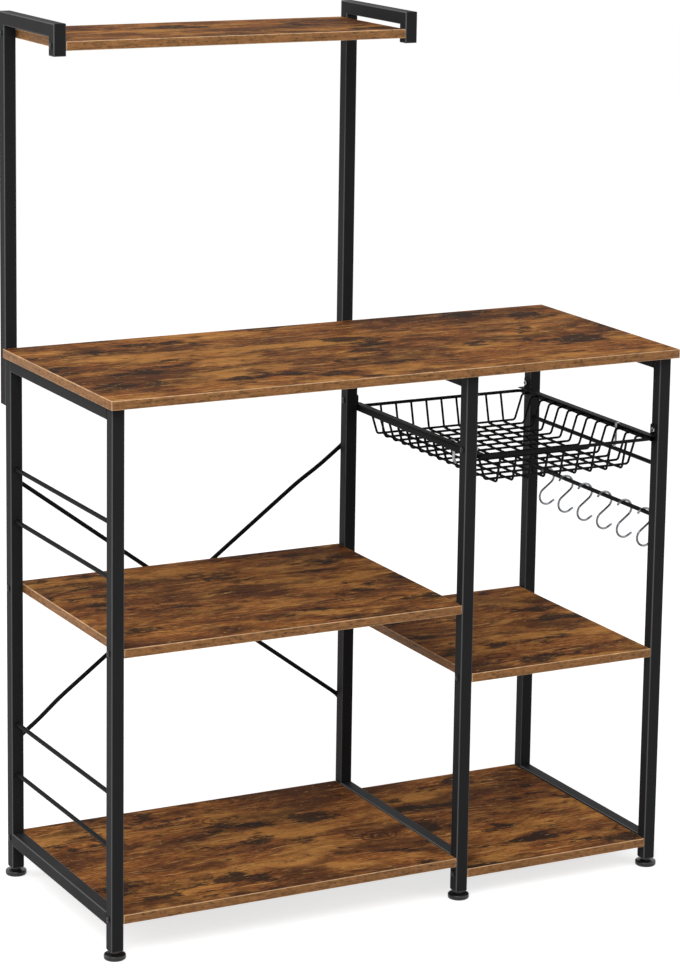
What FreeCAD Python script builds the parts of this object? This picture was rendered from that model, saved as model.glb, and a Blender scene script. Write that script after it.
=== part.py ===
import FreeCAD, Part
import math
import os
import Sketcher

# Sizes of the rack in millimetres. X runs left to right, Y from front to back, Z up;
# the origin is the middle of the footprint on the floor.
SIZES = {
    "overall_width": 900.0,
    "overall_height": 1275.0,
    "counter_height": 793.0,
    "counter_depth": 391.0,
    "board": 13.0,
    "frame_depth": 384.0,
    "front_overhang": 13.0,
    "end_overhang": 6.0,
    "tube": 19.0,
    "tube_wall": 1.2,
    "tube_corner": 2.0,
    "middle_frame": 101.5,
    "leg_end": 13.0,
    "left_rail_base": 47.0,
    "right_rail_base": 29.0,
    "left_low_top": 64.0,
    "right_low_top": 45.0,
    "left_mid_top": 444.5,
    "right_mid_top": 340.5,
    "top_shelf_top": 1250.5,
    "hutch_depth": 203.0,
    "hutch_drop": 45.0,
    "hutch_end": 708.0,
    "hutch_bolt_low": 14.0,
    "hutch_bolt_high": 16.0,
    "rod": 6.4,
    "high_rod": 616.5,
    "hook_rod": 539.0,
    "low_rod_upper": 233.5,
    "low_rod_lower": 156.5,
    "brace_high": 602.0,
    "brace_low": 198.0,
    "brace_sheet": 2.5,
    "brace_eye": 6.0,
    "brace_neck": 10.0,
    "brace_bow_start": 45.0,
    "brace_bow_end": 100.0,
    "brace_bow_bend": 60.0,
    "brace_screw": 12.0,
    "runner_top": 664.0,
    "runner_height": 10.0,
    "runner_sheet": 1.2,
    "runner_flange": 12.5,
    "runner_lip": 6.2,
    "runner_margin": 3.0,
    "tab_rise": 15.0,
    "tab_sheet": 1.5,
    "tab_screw": 671.0,
    "rim_wire": 5.0,
    "mesh_wire": 3.5,
    "rim_play": 1.0,
    "rim_behind": 8.1,
    "rim_short": 2.9,
    "rim_bend": 10.0,
    "basket_floor": 618.3,
    "side_flange": 13.65,
    "side_inset": 12.6,
    "end_inset": 11.0,
    "mesh_bend": 5.0,
    "long_pitch": 26.5,
    "cross_pitch": 27.2,
    "keeper_wire": 2.2,
    "keeper_place": 83.9,
    "keeper_drop": 23.0,
    "keeper_flare": 4.5,
    "keeper_reach": 2.6,
    "hook_wire": 3.4,
    "hook_loop": 11.3,
    "hook_tip": 7.0,
    "hook_length": 57.4,
    "hook_pitch": 56.0,
    "hook_start": 61.5,
    "foot_radius": 15.5,
    "foot_edge": 4.0,
    "stud": 3.0,
    "fit": 0.05,
    "loose": 0.3,
    "bolt": 2.5,
    "bolt_head": 5.0,
    "nut_radius": 5.2,
    "small_nut": 4.0,
    "screw": 2.0,
    "screw_head": 4.4,
    "screw_bite": 24.0,
    "nut_depth": 5.0,
    "small_nut_depth": 3.0,
    "head_height": 2.2,
}

DEPTHS = ("front", "rear")


class Size:
    """A length: its value now and the formula that keeps it tied to the sheet."""

    def __init__(self, text, value):
        self.text = text
        self.value = value

    def join(self, other, sign, value):
        return Size("(%s %s %s)" % (self.text, sign, other.text), value)

    def __add__(self, other):
        other = size(other)
        return self.join(other, "+", self.value + other.value)

    def __radd__(self, other):
        return size(other) + self

    def __sub__(self, other):
        other = size(other)
        return self.join(other, "-", self.value - other.value)

    def __rsub__(self, other):
        return size(other) - self

    def __mul__(self, other):
        other = size(other)
        return self.join(other, "*", self.value * other.value)

    def __rmul__(self, other):
        return size(other) * self

    def __truediv__(self, other):
        other = size(other)
        return self.join(other, "/", self.value / other.value)

    def __neg__(self):
        return size(0.0) - self


def size(number):
    if isinstance(number, Size):
        return number
    return Size(repr(float(number)), float(number))


doc = FreeCAD.newDocument("KitchenRack")
sheet = doc.addObject("Spreadsheet::Sheet", "dims")
for row, alias in enumerate(SIZES):
    sheet.set("A%d" % (row + 1), alias)
    sheet.set("B%d" % (row + 1), repr(SIZES[alias]))
    sheet.setAlias("B%d" % (row + 1), alias)
doc.recompute()

NODES = []


def dim(alias):
    return Size("dims.%s" % alias, SIZES[alias])


def bind(thing, field, length):
    thing.setExpression(field, size(length).text)


def place(thing, x, y, z, rotation=None):
    x, y, z = size(x), size(y), size(z)
    thing.Placement = FreeCAD.Placement(
        FreeCAD.Vector(x.value, y.value, z.value), rotation or FreeCAD.Rotation()
    )
    bind(thing, "Placement.Base.x", x)
    bind(thing, "Placement.Base.y", y)
    bind(thing, "Placement.Base.z", z)
    return thing


def node(thing, label):
    thing.Label = label
    NODES.append(thing)
    return thing


TO_X = FreeCAD.Rotation(FreeCAD.Vector(0, 1, 0), 90)
TO_Y = FreeCAD.Rotation(FreeCAD.Vector(1, 0, 0), -90)
ALONG = {"x": TO_X, "y": TO_Y, "z": FreeCAD.Rotation()}


def box(name, low, high):
    """A block between two opposite corners."""
    thing = doc.addObject("Part::Box", name)
    for field, start, end in zip(("Length", "Width", "Height"), low, high):
        span = size(end) - size(start)
        setattr(thing, field, span.value)
        bind(thing, field, span)
    return place(thing, *low)


def rod(name, axis, radius, length, x, y, z):
    """A round bar from a point along one axis."""
    thing = doc.addObject("Part::Cylinder", name)
    thing.Radius = size(radius).value
    thing.Height = size(length).value
    bind(thing, "Radius", radius)
    bind(thing, "Height", length)
    return place(thing, x, y, z, ALONG[axis])


def ball(name, radius, x, y, z):
    thing = doc.addObject("Part::Sphere", name)
    thing.Radius = size(radius).value
    bind(thing, "Radius", radius)
    return place(thing, x, y, z)


def ring(name, centre_radius, wire_radius, x, y, z, sweep=360.0, rotation=None):
    thing = doc.addObject("Part::Torus", name)
    thing.Radius1 = size(centre_radius).value
    thing.Radius2 = size(wire_radius).value
    bind(thing, "Radius1", centre_radius)
    bind(thing, "Radius2", wire_radius)
    thing.Angle3 = sweep
    return place(thing, x, y, z, rotation)


def fuse(name, pieces):
    thing = doc.addObject("Part::MultiFuse", name)
    thing.Shapes = pieces
    return thing


def group(name, pieces):
    thing = doc.addObject("Part::Compound", name)
    thing.Links = pieces
    return thing


def cut(name, base, tools):
    if not tools:
        return base
    thing = doc.addObject("Part::Cut", name)
    thing.Base = base
    thing.Tool = tools[0] if len(tools) == 1 else group(name + "_tools", tools)
    return thing


def origin_plane(body, role):
    return next(item for item in body.Origin.OriginFeatures if item.Role == role)


def rounded_square(sketch, side, corner):
    """Four sides and four round corners about the sketch's origin."""
    side, corner = size(side), size(corner)
    half = side.value / 2.0
    flat = half - corner.value
    first = sketch.GeometryCount
    turns = ((1, 0), (0, 1), (-1, 0), (0, -1))
    for cx, cy in turns:
        start = FreeCAD.Vector(half * cx + flat * cy, half * cy - flat * cx, 0)
        end = FreeCAD.Vector(half * cx - flat * cy, half * cy + flat * cx, 0)
        sketch.addGeometry(Part.LineSegment(start, end), False)
        middle = FreeCAD.Vector(flat * (cx - cy), flat * (cy + cx), 0)
        arc_start = math.atan2(cy, cx)
        circle = Part.Circle(middle, FreeCAD.Vector(0, 0, 1), corner.value)
        sketch.addGeometry(Part.ArcOfCircle(circle, arc_start, arc_start + math.pi / 2), False)
    for turn in range(4):
        line = first + 2 * turn
        arc = line + 1
        following = first + (2 * turn + 2) % 8
        sketch.addConstraint(Sketcher.Constraint("Tangent", line, 2, arc, 1))
        sketch.addConstraint(Sketcher.Constraint("Tangent", arc, 2, following, 1))
        sketch.addConstraint(Sketcher.Constraint("Vertical" if turn % 2 == 0 else "Horizontal", line))
        if turn:
            sketch.addConstraint(Sketcher.Constraint("Equal", first + 1, arc))
    fixed = sketch.addConstraint(Sketcher.Constraint("Radius", first + 1, corner.value))
    sketch.setExpression("Constraints[%d]" % fixed, corner.text)
    edges = ((first, "DistanceX", half), (first + 4, "DistanceX", -half),
             (first + 2, "DistanceY", half), (first + 6, "DistanceY", -half))
    for line, kind, value in edges:
        fixed = sketch.addConstraint(Sketcher.Constraint(kind, -1, 1, line, 1, value))
        text = (side / 2).text if value > 0 else (-side / 2).text
        sketch.setExpression("Constraints[%d]" % fixed, text)


def bar(name, axis, side, corner, wall, length, x, y, z):
    """A square bar with round corners, hollow when it is given a wall, from the middle of one end."""
    body = doc.addObject("PartDesign::Body", name + "_body")
    sketch = body.newObject("Sketcher::SketchObject", name + "_outline")
    sketch.AttachmentSupport = (origin_plane(body, "XY_Plane"), [""])
    sketch.MapMode = "FlatFace"
    rounded_square(sketch, side, corner)
    if wall:
        rounded_square(sketch, side - 2 * size(wall), corner - size(wall))
    pad = body.newObject("PartDesign::Pad", name + "_pad")
    pad.Profile = sketch
    pad.Length = size(length).value
    bind(pad, "Length", length)
    body.Tip = pad
    return place(body, x, y, z, ALONG[axis])


def tube(name, axis, length, x, y, z):
    return bar(name, axis, dim("tube"), dim("tube_corner"), dim("tube_wall"), length, x, y, z)


PLANES = {
    "xz": FreeCAD.Rotation(FreeCAD.Vector(1, 0, 0), 90),
    "yz": FreeCAD.Rotation(FreeCAD.Vector(1, 1, 1), 120),
    "xy": FreeCAD.Rotation(),
}


def path(name, corners, bends, rotation, origin, closed=False):
    """A run of straight lines through the corners, joined by bends of the given radii."""
    sketch = doc.addObject("Sketcher::SketchObject", name)
    corners = [(size(a), size(b)) for a, b in corners]
    spots = [FreeCAD.Vector(a.value, b.value, 0) for a, b in corners]
    count = len(spots)
    lines = count if closed else count - 1

    def offset(index):
        if not closed and index in (0, count - 1):
            return 0.0
        before = (spots[index - 1] - spots[index]).normalize()
        after = (spots[(index + 1) % count] - spots[index]).normalize()
        return bends[index].value / math.tan(before.getAngle(after) / 2)

    for index in range(lines):
        start, end = spots[index], spots[(index + 1) % count]
        along = (end - start).normalize()
        sketch.addGeometry(
            Part.LineSegment(start + along * offset(index), end - along * offset((index + 1) % count)),
            False,
        )
    turns = range(count) if closed else range(1, count - 1)
    arcs = {}
    for index in turns:
        before = (spots[index - 1] - spots[index]).normalize()
        after = (spots[(index + 1) % count] - spots[index]).normalize()
        entry = spots[index] + before * offset(index)
        leave = spots[index] + after * offset(index)
        half = before.getAngle(after) / 2
        centre = spots[index] + (before + after).normalize() * (bends[index].value / math.sin(half))
        left = (-before).cross(after).z > 0
        circle = Part.Circle(centre, FreeCAD.Vector(0, 0, 1), bends[index].value)
        first, last = (entry, leave) if left else (leave, entry)
        start = math.atan2(first.y - centre.y, first.x - centre.x)
        stop = math.atan2(last.y - centre.y, last.x - centre.x)
        arc = sketch.addGeometry(Part.ArcOfCircle(circle, start, stop), False)
        arcs[index] = (arc, 1 if left else 2, 2 if left else 1)
    points = []
    for index, (a, b) in enumerate(corners):
        point = sketch.addGeometry(Part.Point(spots[index]), True)
        points.append(point)
        for kind, part in (("DistanceX", a), ("DistanceY", b)):
            fixed = sketch.addConstraint(Sketcher.Constraint(kind, -1, 1, point, 1, part.value))
            sketch.setExpression("Constraints[%d]" % fixed, part.text)
    for index in range(lines):
        following = (index + 1) % count
        for corner, end in ((index, 1), (following, 2)):
            if corner in arcs:
                sketch.addConstraint(Sketcher.Constraint("PointOnObject", points[corner], 1, index))
            else:
                sketch.addConstraint(Sketcher.Constraint("Coincident", points[corner], 1, index, end))
    for index, (arc, entry, leave) in arcs.items():
        sketch.addConstraint(Sketcher.Constraint("Tangent", (index - 1) % lines, 2, arc, entry))
        sketch.addConstraint(Sketcher.Constraint("Tangent", arc, leave, index, 1))
        fixed = sketch.addConstraint(Sketcher.Constraint("Radius", arc, bends[index].value))
        sketch.setExpression("Constraints[%d]" % fixed, bends[index].text)
    return place(sketch, *origin, rotation)


def wire(name, radius, corners, bends, rotation, origin, closed=False):
    """A round wire bent along a path."""
    radius = size(radius)
    bends = [size(bend) for bend in bends]
    spine = path(name + "_path", corners, bends, rotation, origin, closed)
    a, b = (size(part) for part in corners[0])
    c, d = (size(part) for part in corners[1])
    start_a, start_b = (a, b)
    if closed:
        start_a, start_b = (a + c) / 2, (b + d) / 2
    heading = FreeCAD.Vector(c.value - a.value, d.value - b.value, 0)
    turn = rotation.multiply(FreeCAD.Rotation(FreeCAD.Vector(0, 0, 1), heading))
    profile = doc.addObject("Part::Circle", name + "_section")
    profile.Radius = radius.value
    bind(profile, "Radius", radius)
    across = rotation.multVec(FreeCAD.Vector(1, 0, 0))
    along = rotation.multVec(FreeCAD.Vector(0, 1, 0))
    base = []
    for axis, shift in enumerate(origin):
        shift = size(shift)
        if abs(across[axis]) > 1e-9:
            shift = shift + start_a * round(across[axis], 12)
        if abs(along[axis]) > 1e-9:
            shift = shift + start_b * round(along[axis], 12)
        base.append(shift)
    place(profile, *base, turn)
    thing = doc.addObject("Part::Sweep", name)
    thing.Sections = [profile]
    thing.Spine = (spine, [])
    thing.Solid = True
    thing.Frenet = False
    return thing


half = dim("tube") / 2
counter_top = dim("counter_height")
counter_base = counter_top - dim("board")
front_edge = -(dim("front_overhang") + dim("frame_depth") + dim("tube") + dim("head_height")) / 2
frame_front = front_edge + dim("front_overhang")
frame_back = frame_front + dim("frame_depth")
post_y = {"front": frame_front + half, "rear": frame_back - half}
inner_front = frame_front + dim("tube")
inner_span = dim("frame_depth") - 2 * dim("tube")
frame_x = {
    "left": -dim("overall_width") / 2 + dim("end_overhang") + half,
    "middle": dim("middle_frame") + half,
    "right": dim("overall_width") / 2 - dim("end_overhang") - half,
}
rail_base = {
    "left": dim("left_rail_base"),
    "middle": dim("left_rail_base"),
    "right": dim("right_rail_base"),
}
hole = dim("screw") + dim("fit")
shelf_levels = {
    "left": (dim("left_low_top") - dim("board") / 2, dim("left_mid_top") - dim("board") / 2),
    "right": (dim("right_low_top") - dim("board") / 2, dim("right_mid_top") - dim("board") / 2),
}
hutch_front = frame_back + dim("tube") - dim("hutch_depth")
hutch_levels = (dim("hutch_end") + dim("hutch_bolt_low"), counter_base - dim("hutch_bolt_high"))
board_level = dim("top_shelf_top") - dim("board") / 2
tab_level = dim("tab_screw")
drill_span = dim("tube") + 2.0


def drill_x(name, x, y, z):
    return rod(name, "x", hole, drill_span, x - half - 1.0, y, z)


# The three welded frames: two posts and two rails each. The posts run from the feet to the
# underside of the counter and the rails are butted between them.
for side, x in frame_x.items():
    for depth in DEPTHS:
        name = "%s_%s_post" % (side, depth)
        y = post_y[depth]
        post = tube(name, "z", counter_base - dim("leg_end"), x, y, dim("leg_end"))
        drills = []
        levels = []
        if side in ("left", "middle"):
            levels += shelf_levels["left"]
        if side in ("middle", "right"):
            levels += shelf_levels["right"]
        if side in ("middle", "right"):
            levels.append(tab_level)
        for index, level in enumerate(levels):
            drills.append(drill_x("%s_drill_%d" % (name, index), x, y, level))
        if depth == "rear" and side in ("left", "middle"):
            for index, level in enumerate((dim("brace_high"), dim("brace_low"))):
                drills.append(rod("%s_brace_drill_%d" % (name, index), "y", hole, 4.0,
                                  x, frame_back - 3.0, level))
            for index, level in enumerate(hutch_levels):
                drills.append(rod("%s_hutch_drill_%d" % (name, index), "y", dim("bolt") + dim("fit"), 4.0,
                                  x, frame_back - 3.0, level))
        node(cut(name + "_solid", post, drills), name)
    for kind, base in (("top", counter_base - dim("tube")), ("bottom", rail_base[side])):
        name = "%s_%s_rail" % (side, kind)
        rail = tube(name, "y", inner_span, x, inner_front, base + half)
        drills = []
        if kind == "top":
            for index, share in enumerate((0.2, 0.8)):
                drills.append(rod("%s_drill_%d" % (name, index), "z", hole, drill_span,
                                  x, inner_front + inner_span * share, base - 1.0))
        node(cut(name + "_solid", rail, drills), name)

# Round bars welded between the posts at the two ends of the rack.
side_rods = []
for index, level in enumerate(("high_rod", "hook_rod", "low_rod_upper", "low_rod_lower")):
    side_rods.append(rod("side_rod_%d" % index, "y", dim("rod") / 2, inner_span,
                         frame_x["left"], inner_front, dim(level)))
node(group("side_rods", side_rods), "left_side_rods")
node(rod("guard", "y", dim("rod") / 2, inner_span, frame_x["right"], inner_front, dim("high_rod")),
     "right_guard_rod")
node(rod("hanging", "y", dim("rod") / 2, inner_span, frame_x["right"], inner_front, dim("hook_rod")),
     "hook_rail")

# The two hutch frames stand behind the left and middle rear posts. Upright, arm and drop are
# mitred where they turn.
hutch_y = frame_back + half
hutch_top = dim("overall_height")
hutch_back = frame_back + dim("tube")
reach = dim("tube") * 2


def mitre(name, x, y, z, angle, above):
    """A block that takes off one side of a 45 degree corner."""
    blade = doc.addObject("Part::Box", name)
    for field, length in (("Length", dim("tube") + 2.0), ("Width", reach), ("Height", reach)):
        setattr(blade, field, length.value)
        bind(blade, field, length)
    turn = FreeCAD.Rotation(FreeCAD.Vector(1, 0, 0), angle)
    local = FreeCAD.Vector(0, -reach.value + 5.0 if angle > 0 else -5.0, 0 if above else -reach.value)
    shift = turn.multVec(local)
    return place(blade, x - half - 1.0, size(y) + shift.y, size(z) + shift.z, turn)


for side in ("left", "middle"):
    x = frame_x[side]
    label = "hutch_left" if side == "left" else "hutch_right"
    name = label + "_upright"
    start = dim("hutch_end") + 1.5
    upright = tube(name, "z", hutch_top - start, x, hutch_y, start)
    drills = [mitre(name + "_mitre", x, hutch_back, hutch_top, 45, True)]
    drills.append(drill_x(name + "_board_drill", x, hutch_y, board_level))
    for index, level in enumerate(hutch_levels):
        drills.append(rod("%s_bolt_drill_%d" % (name, index), "y", dim("bolt") + dim("fit"), drill_span,
                          x, frame_back - 1.0, level))
    node(cut(name + "_solid", upright, drills), name)
    name = label + "_arm"
    arm = tube(name, "y", dim("hutch_depth"), x, hutch_front, hutch_top - half)
    ends = [mitre(name + "_rear_mitre", x, hutch_back, hutch_top, 45, False),
            mitre(name + "_front_mitre", x, hutch_front, hutch_top, -45, False)]
    node(cut(name + "_solid", arm, ends), name)
    name = label + "_drop"
    start = hutch_top - dim("hutch_drop") + 1.5
    drop = tube(name, "z", hutch_top - start, x, hutch_front + half, start)
    drills = [mitre(name + "_mitre", x, hutch_front, hutch_top, -45, True)]
    drills.append(drill_x(name + "_board_drill", x, hutch_front + half, board_level))
    node(cut(name + "_solid", drop, drills), name)

# The boards. The counter lies on the frames; every other board sits between two frames.
inner_x = {
    "left": (frame_x["left"] + half, frame_x["middle"] - half),
    "right": (frame_x["middle"] + half, frame_x["right"] - half),
}
screw_bite = dim("screw_bite")


def board(label, x_span, y_span, top, ends=(), below=()):
    """A board with its pilot holes: ends are (level y), below are (x, y) from underneath."""
    panel = box(label + "_panel", (x_span[0], y_span[0], top - dim("board")),
                (x_span[1], y_span[1], top))
    drills = []
    middle = top - dim("board") / 2
    for index, y in enumerate(ends):
        drills.append(rod("%s_pilot_low_%d" % (label, index), "x", hole, screw_bite + 1.0,
                          x_span[0], y, middle))
        drills.append(rod("%s_pilot_high_%d" % (label, index), "x", hole, screw_bite + 1.0,
                          x_span[1] - screw_bite - 1.0, y, middle))
    for index, (x, y) in enumerate(below):
        drills.append(rod("%s_pilot_%d" % (label, index), "z", hole, 10.0,
                          x, y, top - dim("board")))
    node(cut(label + "_solid", panel, drills), label)


rail_screws = [(x, inner_front + inner_span * share) for x in frame_x.values() for share in (0.2, 0.8)]
board("countertop", (-dim("overall_width") / 2, dim("overall_width") / 2),
      (front_edge, front_edge + dim("counter_depth")), counter_top, below=rail_screws)
frame_y = (frame_front, frame_back)
for label, side, top in (("middle_shelf_left", "left", "left_mid_top"),
                         ("middle_shelf_right", "right", "right_mid_top"),
                         ("bottom_shelf_left", "left", "left_low_top"),
                         ("bottom_shelf_right", "right", "right_low_top")):
    board(label, inner_x[side], frame_y, dim(top), ends=(post_y["front"], post_y["rear"]))
board("top_shelf", inner_x["left"], (hutch_front, hutch_back), dim("top_shelf_top"),
      ends=(hutch_front + half, hutch_y))


def fastener(name, axis, x, y, z, length, radius, head):
    """A pan head screw: x, y, z is the face its head rests on, length is signed along the axis."""
    way = 1 if size(length).value > 0 else -1
    spots = {"x": 0, "y": 1, "z": 2}
    base = [size(x), size(y), size(z)]
    index = spots[axis]
    shank_base = list(base)
    head_base = list(base)
    if way > 0:
        head_base[index] = base[index] - dim("head_height")
        shank_base[index] = base[index] - 0.5
    else:
        shank_base[index] = base[index] + length
    shank = rod(name + "_shank", axis, radius, size(length) * way + 0.5, *shank_base)
    cap = rod(name + "_head", axis, head, dim("head_height"), *head_base)
    return fuse(name, [shank, cap])


# Long screws through the posts into the ends of the shelves.
shelf_screws = []
for side in ("left", "right"):
    outer = {"left": ("left", "middle"), "right": ("middle", "right")}[side]
    for level_index, level in enumerate(shelf_levels[side]):
        for depth in DEPTHS:
            for which, frame in enumerate(outer):
                name = "shelf_screw_%s_%d_%s_%d" % (side, level_index, depth, which)
                way = 1 if which == 0 else -1
                length = (dim("tube") + screw_bite) * way
                shelf_screws.append(fastener(name, "x", frame_x[frame] - half * way, post_y[depth],
                                             level, length, dim("screw"), dim("screw_head")))
node(group("shelf_screws_group", shelf_screws), "shelf_screws")

hutch_screws = []
for which, frame in enumerate(("left", "middle")):
    for index, y in enumerate((hutch_front + half, hutch_y)):
        way = 1 if which == 0 else -1
        hutch_screws.append(fastener("hutch_screw_%s_%d" % (frame, index), "x",
                                     frame_x[frame] - half * way, y, board_level,
                                     (dim("tube") + screw_bite) * way, dim("screw"),
                                     dim("screw_head")))
node(group("hutch_screws_group", hutch_screws), "top_shelf_screws")

counter_screws = []
for index, (x, y) in enumerate(rail_screws):
    counter_screws.append(fastener("counter_screw_%d" % index, "z", x, y, counter_base - dim("tube"),
                                   dim("tube") + 9.0, dim("screw"), dim("screw_head")))
node(group("counter_screws_group", counter_screws), "countertop_screws")

# Bolts that tie the hutch uprights to the rear posts, with nuts inside the posts.
bolts = []
nuts = []
nut_depth = dim("nut_depth")
for side in ("left", "middle"):
    for index, level in enumerate(hutch_levels):
        name = "hutch_bolt_%s_%d" % (side, index)
        bolts.append(fastener(name, "y", frame_x[side], hutch_back, level,
                              -(dim("tube") + dim("tube_wall") + nut_depth + 2.0), dim("bolt"),
                              dim("bolt_head")))
        nut = doc.addObject("Part::Prism", name + "_nut_body")
        nut.Polygon = 6
        nut.Circumradius = dim("nut_radius").value
        nut.Height = nut_depth.value
        bind(nut, "Circumradius", dim("nut_radius"))
        bind(nut, "Height", nut_depth)
        place(nut, frame_x[side], frame_back - dim("tube_wall") - nut_depth, level, TO_Y)
        bore = rod(name + "_nut_bore", "y", dim("bolt") + dim("fit"), nut_depth + 2.0, frame_x[side],
                   frame_back - dim("tube_wall") - nut_depth - 1.0, level)
        nuts.append(cut(name + "_nut", nut, [bore]))
node(group("hutch_bolts_group", bolts), "hutch_bolts")
node(group("hutch_nuts_group", nuts), "hutch_nuts")

# Plastic plugs in the open ends of the hutch tubes, and threaded inserts in the legs.
plug_side = dim("tube") - 2 * dim("tube_wall") - 0.2
caps = []
for side in ("left", "middle"):
    for kind, y, z in (("upright", hutch_y, dim("hutch_end")),
                       ("drop", hutch_front + half, hutch_top - dim("hutch_drop"))):
        name = "cap_%s_%s" % (side, kind)
        flange = bar(name + "_flange", "z", dim("tube"), dim("tube_corner"), None, 1.5,
                     frame_x[side], y, z)
        plug = bar(name + "_plug", "z", plug_side, 1.2, None, 9.0, frame_x[side], y, z + 0.5)
        caps.append(fuse(name, [flange, plug]))
node(group("caps_group", caps), "hutch_end_caps")

insert_flange = size(1.5)
insert_base = dim("leg_end") - insert_flange
inserts = []
for side, x in frame_x.items():
    for depth in DEPTHS:
        name = "insert_%s_%s" % (side, depth)
        y = post_y[depth]
        flange = bar(name + "_flange", "z", dim("tube") - 1.0, dim("tube_corner"), None, insert_flange,
                     x, y, insert_base)
        plug = bar(name + "_plug", "z", plug_side, 1.2, None, 16.0, x, y, insert_base + 0.5)
        bore = rod(name + "_bore", "z", dim("stud") + dim("fit"), 20.0, x, y, insert_base - 1.0)
        inserts.append(cut(name, fuse(name + "_body", [flange, plug]), [bore]))
        name = "foot_%s_%s" % (side, depth)
        edge = dim("foot_edge")
        core = dim("foot_radius") - edge
        pieces = [
            rod(name + "_disc", "z", core, edge * 2, x, y, 0.0),
            ring(name + "_rim", core, edge, x, y, edge),
            rod(name + "_collar", "z", 7.0, insert_base - edge * 2 + 0.5, x, y, edge * 2 - 0.5),
            rod(name + "_stud", "z", dim("stud"), 15.0, x, y, insert_base - 1.0),
        ]
        node(fuse(name + "_solid", pieces), name)
node(group("inserts_group", inserts), "foot_inserts")

# The crossed back brace: two round bars with flattened, drilled ends screwed to the rear posts.
run = frame_x["middle"] - frame_x["left"]
rise = dim("brace_high") - dim("brace_low")
brace_length = math.hypot(run.value, rise.value)
brace_tilt = math.degrees(math.atan2(rise.value, run.value))
length_size = Size("sqrt(%s * %s + %s * %s)" % (run.text, run.text, rise.text, rise.text),
                   brace_length)
flat_sheet = dim("brace_sheet")
eyelet = dim("brace_eye")
neck = dim("brace_neck")
bow_start = dim("brace_bow_start")
bow_end = dim("brace_bow_end")
bow_bend = dim("brace_bow_bend")
bar_y = frame_back + dim("rod") / 2 + 0.3
bow = dim("rod") + 0.1
for label, falls in (("back_brace_front", True), ("back_brace_rear", False)):
    start_z = dim("brace_high") if falls else dim("brace_low")
    tilt = FreeCAD.Rotation(FreeCAD.Vector(0, 1, 0), brace_tilt if falls else -brace_tilt)
    origin = (frame_x["left"], bar_y, start_z)
    if falls:
        corners = [(neck, 0.0), (length_size - neck, 0.0)]
        bends = [0, 0]
    else:
        corners = [(neck, 0.0), (bow_start, 0.0), (bow_end, bow), (length_size - bow_end, bow),
                   (length_size - bow_start, 0.0), (length_size - neck, 0.0)]
        bends = [0] + [bow_bend] * 4 + [0]
    pieces = [wire(label + "_bar", dim("rod") / 2, corners, bends, tilt, origin)]
    along = tilt.multVec(FreeCAD.Vector(1, 0, 0))
    for index, far in enumerate((0, 1)):
        reach_along = length_size * far
        x = frame_x["left"] + reach_along * along.x
        z = start_z + reach_along * along.z
        way = 1 if far == 0 else -1
        end_x = x + neck * (along.x * way)
        end_z = z + neck * (along.z * way)
        pieces.append(ball("%s_end_%d" % (label, index), dim("rod") / 2 - 0.1, end_x, bar_y, end_z))
        pieces.append(rod("%s_eye_%d" % (label, index), "y", eyelet, flat_sheet, x, frame_back, z))
        tongue = doc.addObject("Part::Box", "%s_tongue_%d" % (label, index))
        for field, length in (("Length", neck), ("Width", flat_sheet), ("Height", 2 * eyelet)):
            setattr(tongue, field, length.value)
            bind(tongue, field, length)
        local = FreeCAD.Vector(0 if way > 0 else -neck.value, 0, -eyelet.value)
        shift = tilt.multVec(local)
        place(tongue, x + shift.x, frame_back, z + shift.z, tilt)
        pieces.append(tongue)
    holes = []
    for index, far in enumerate((0, 1)):
        reach_along = length_size * far
        holes.append(rod("%s_hole_%d" % (label, index), "y", hole, flat_sheet + 2.0,
                         frame_x["left"] + reach_along * along.x, frame_back - 1.0,
                         start_z + reach_along * along.z))
    node(cut(label + "_solid", fuse(label + "_body", pieces), holes), label)
brace_screws = []
for side in ("left", "middle"):
    for index, level in enumerate(("brace_high", "brace_low")):
        brace_screws.append(fastener("brace_screw_%s_%d" % (side, index), "y", frame_x[side],
                                     frame_back + flat_sheet, dim(level), -dim("brace_screw"),
                                     dim("screw"), dim("screw_head")))
node(group("brace_screws_group", brace_screws), "brace_screws")

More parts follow.
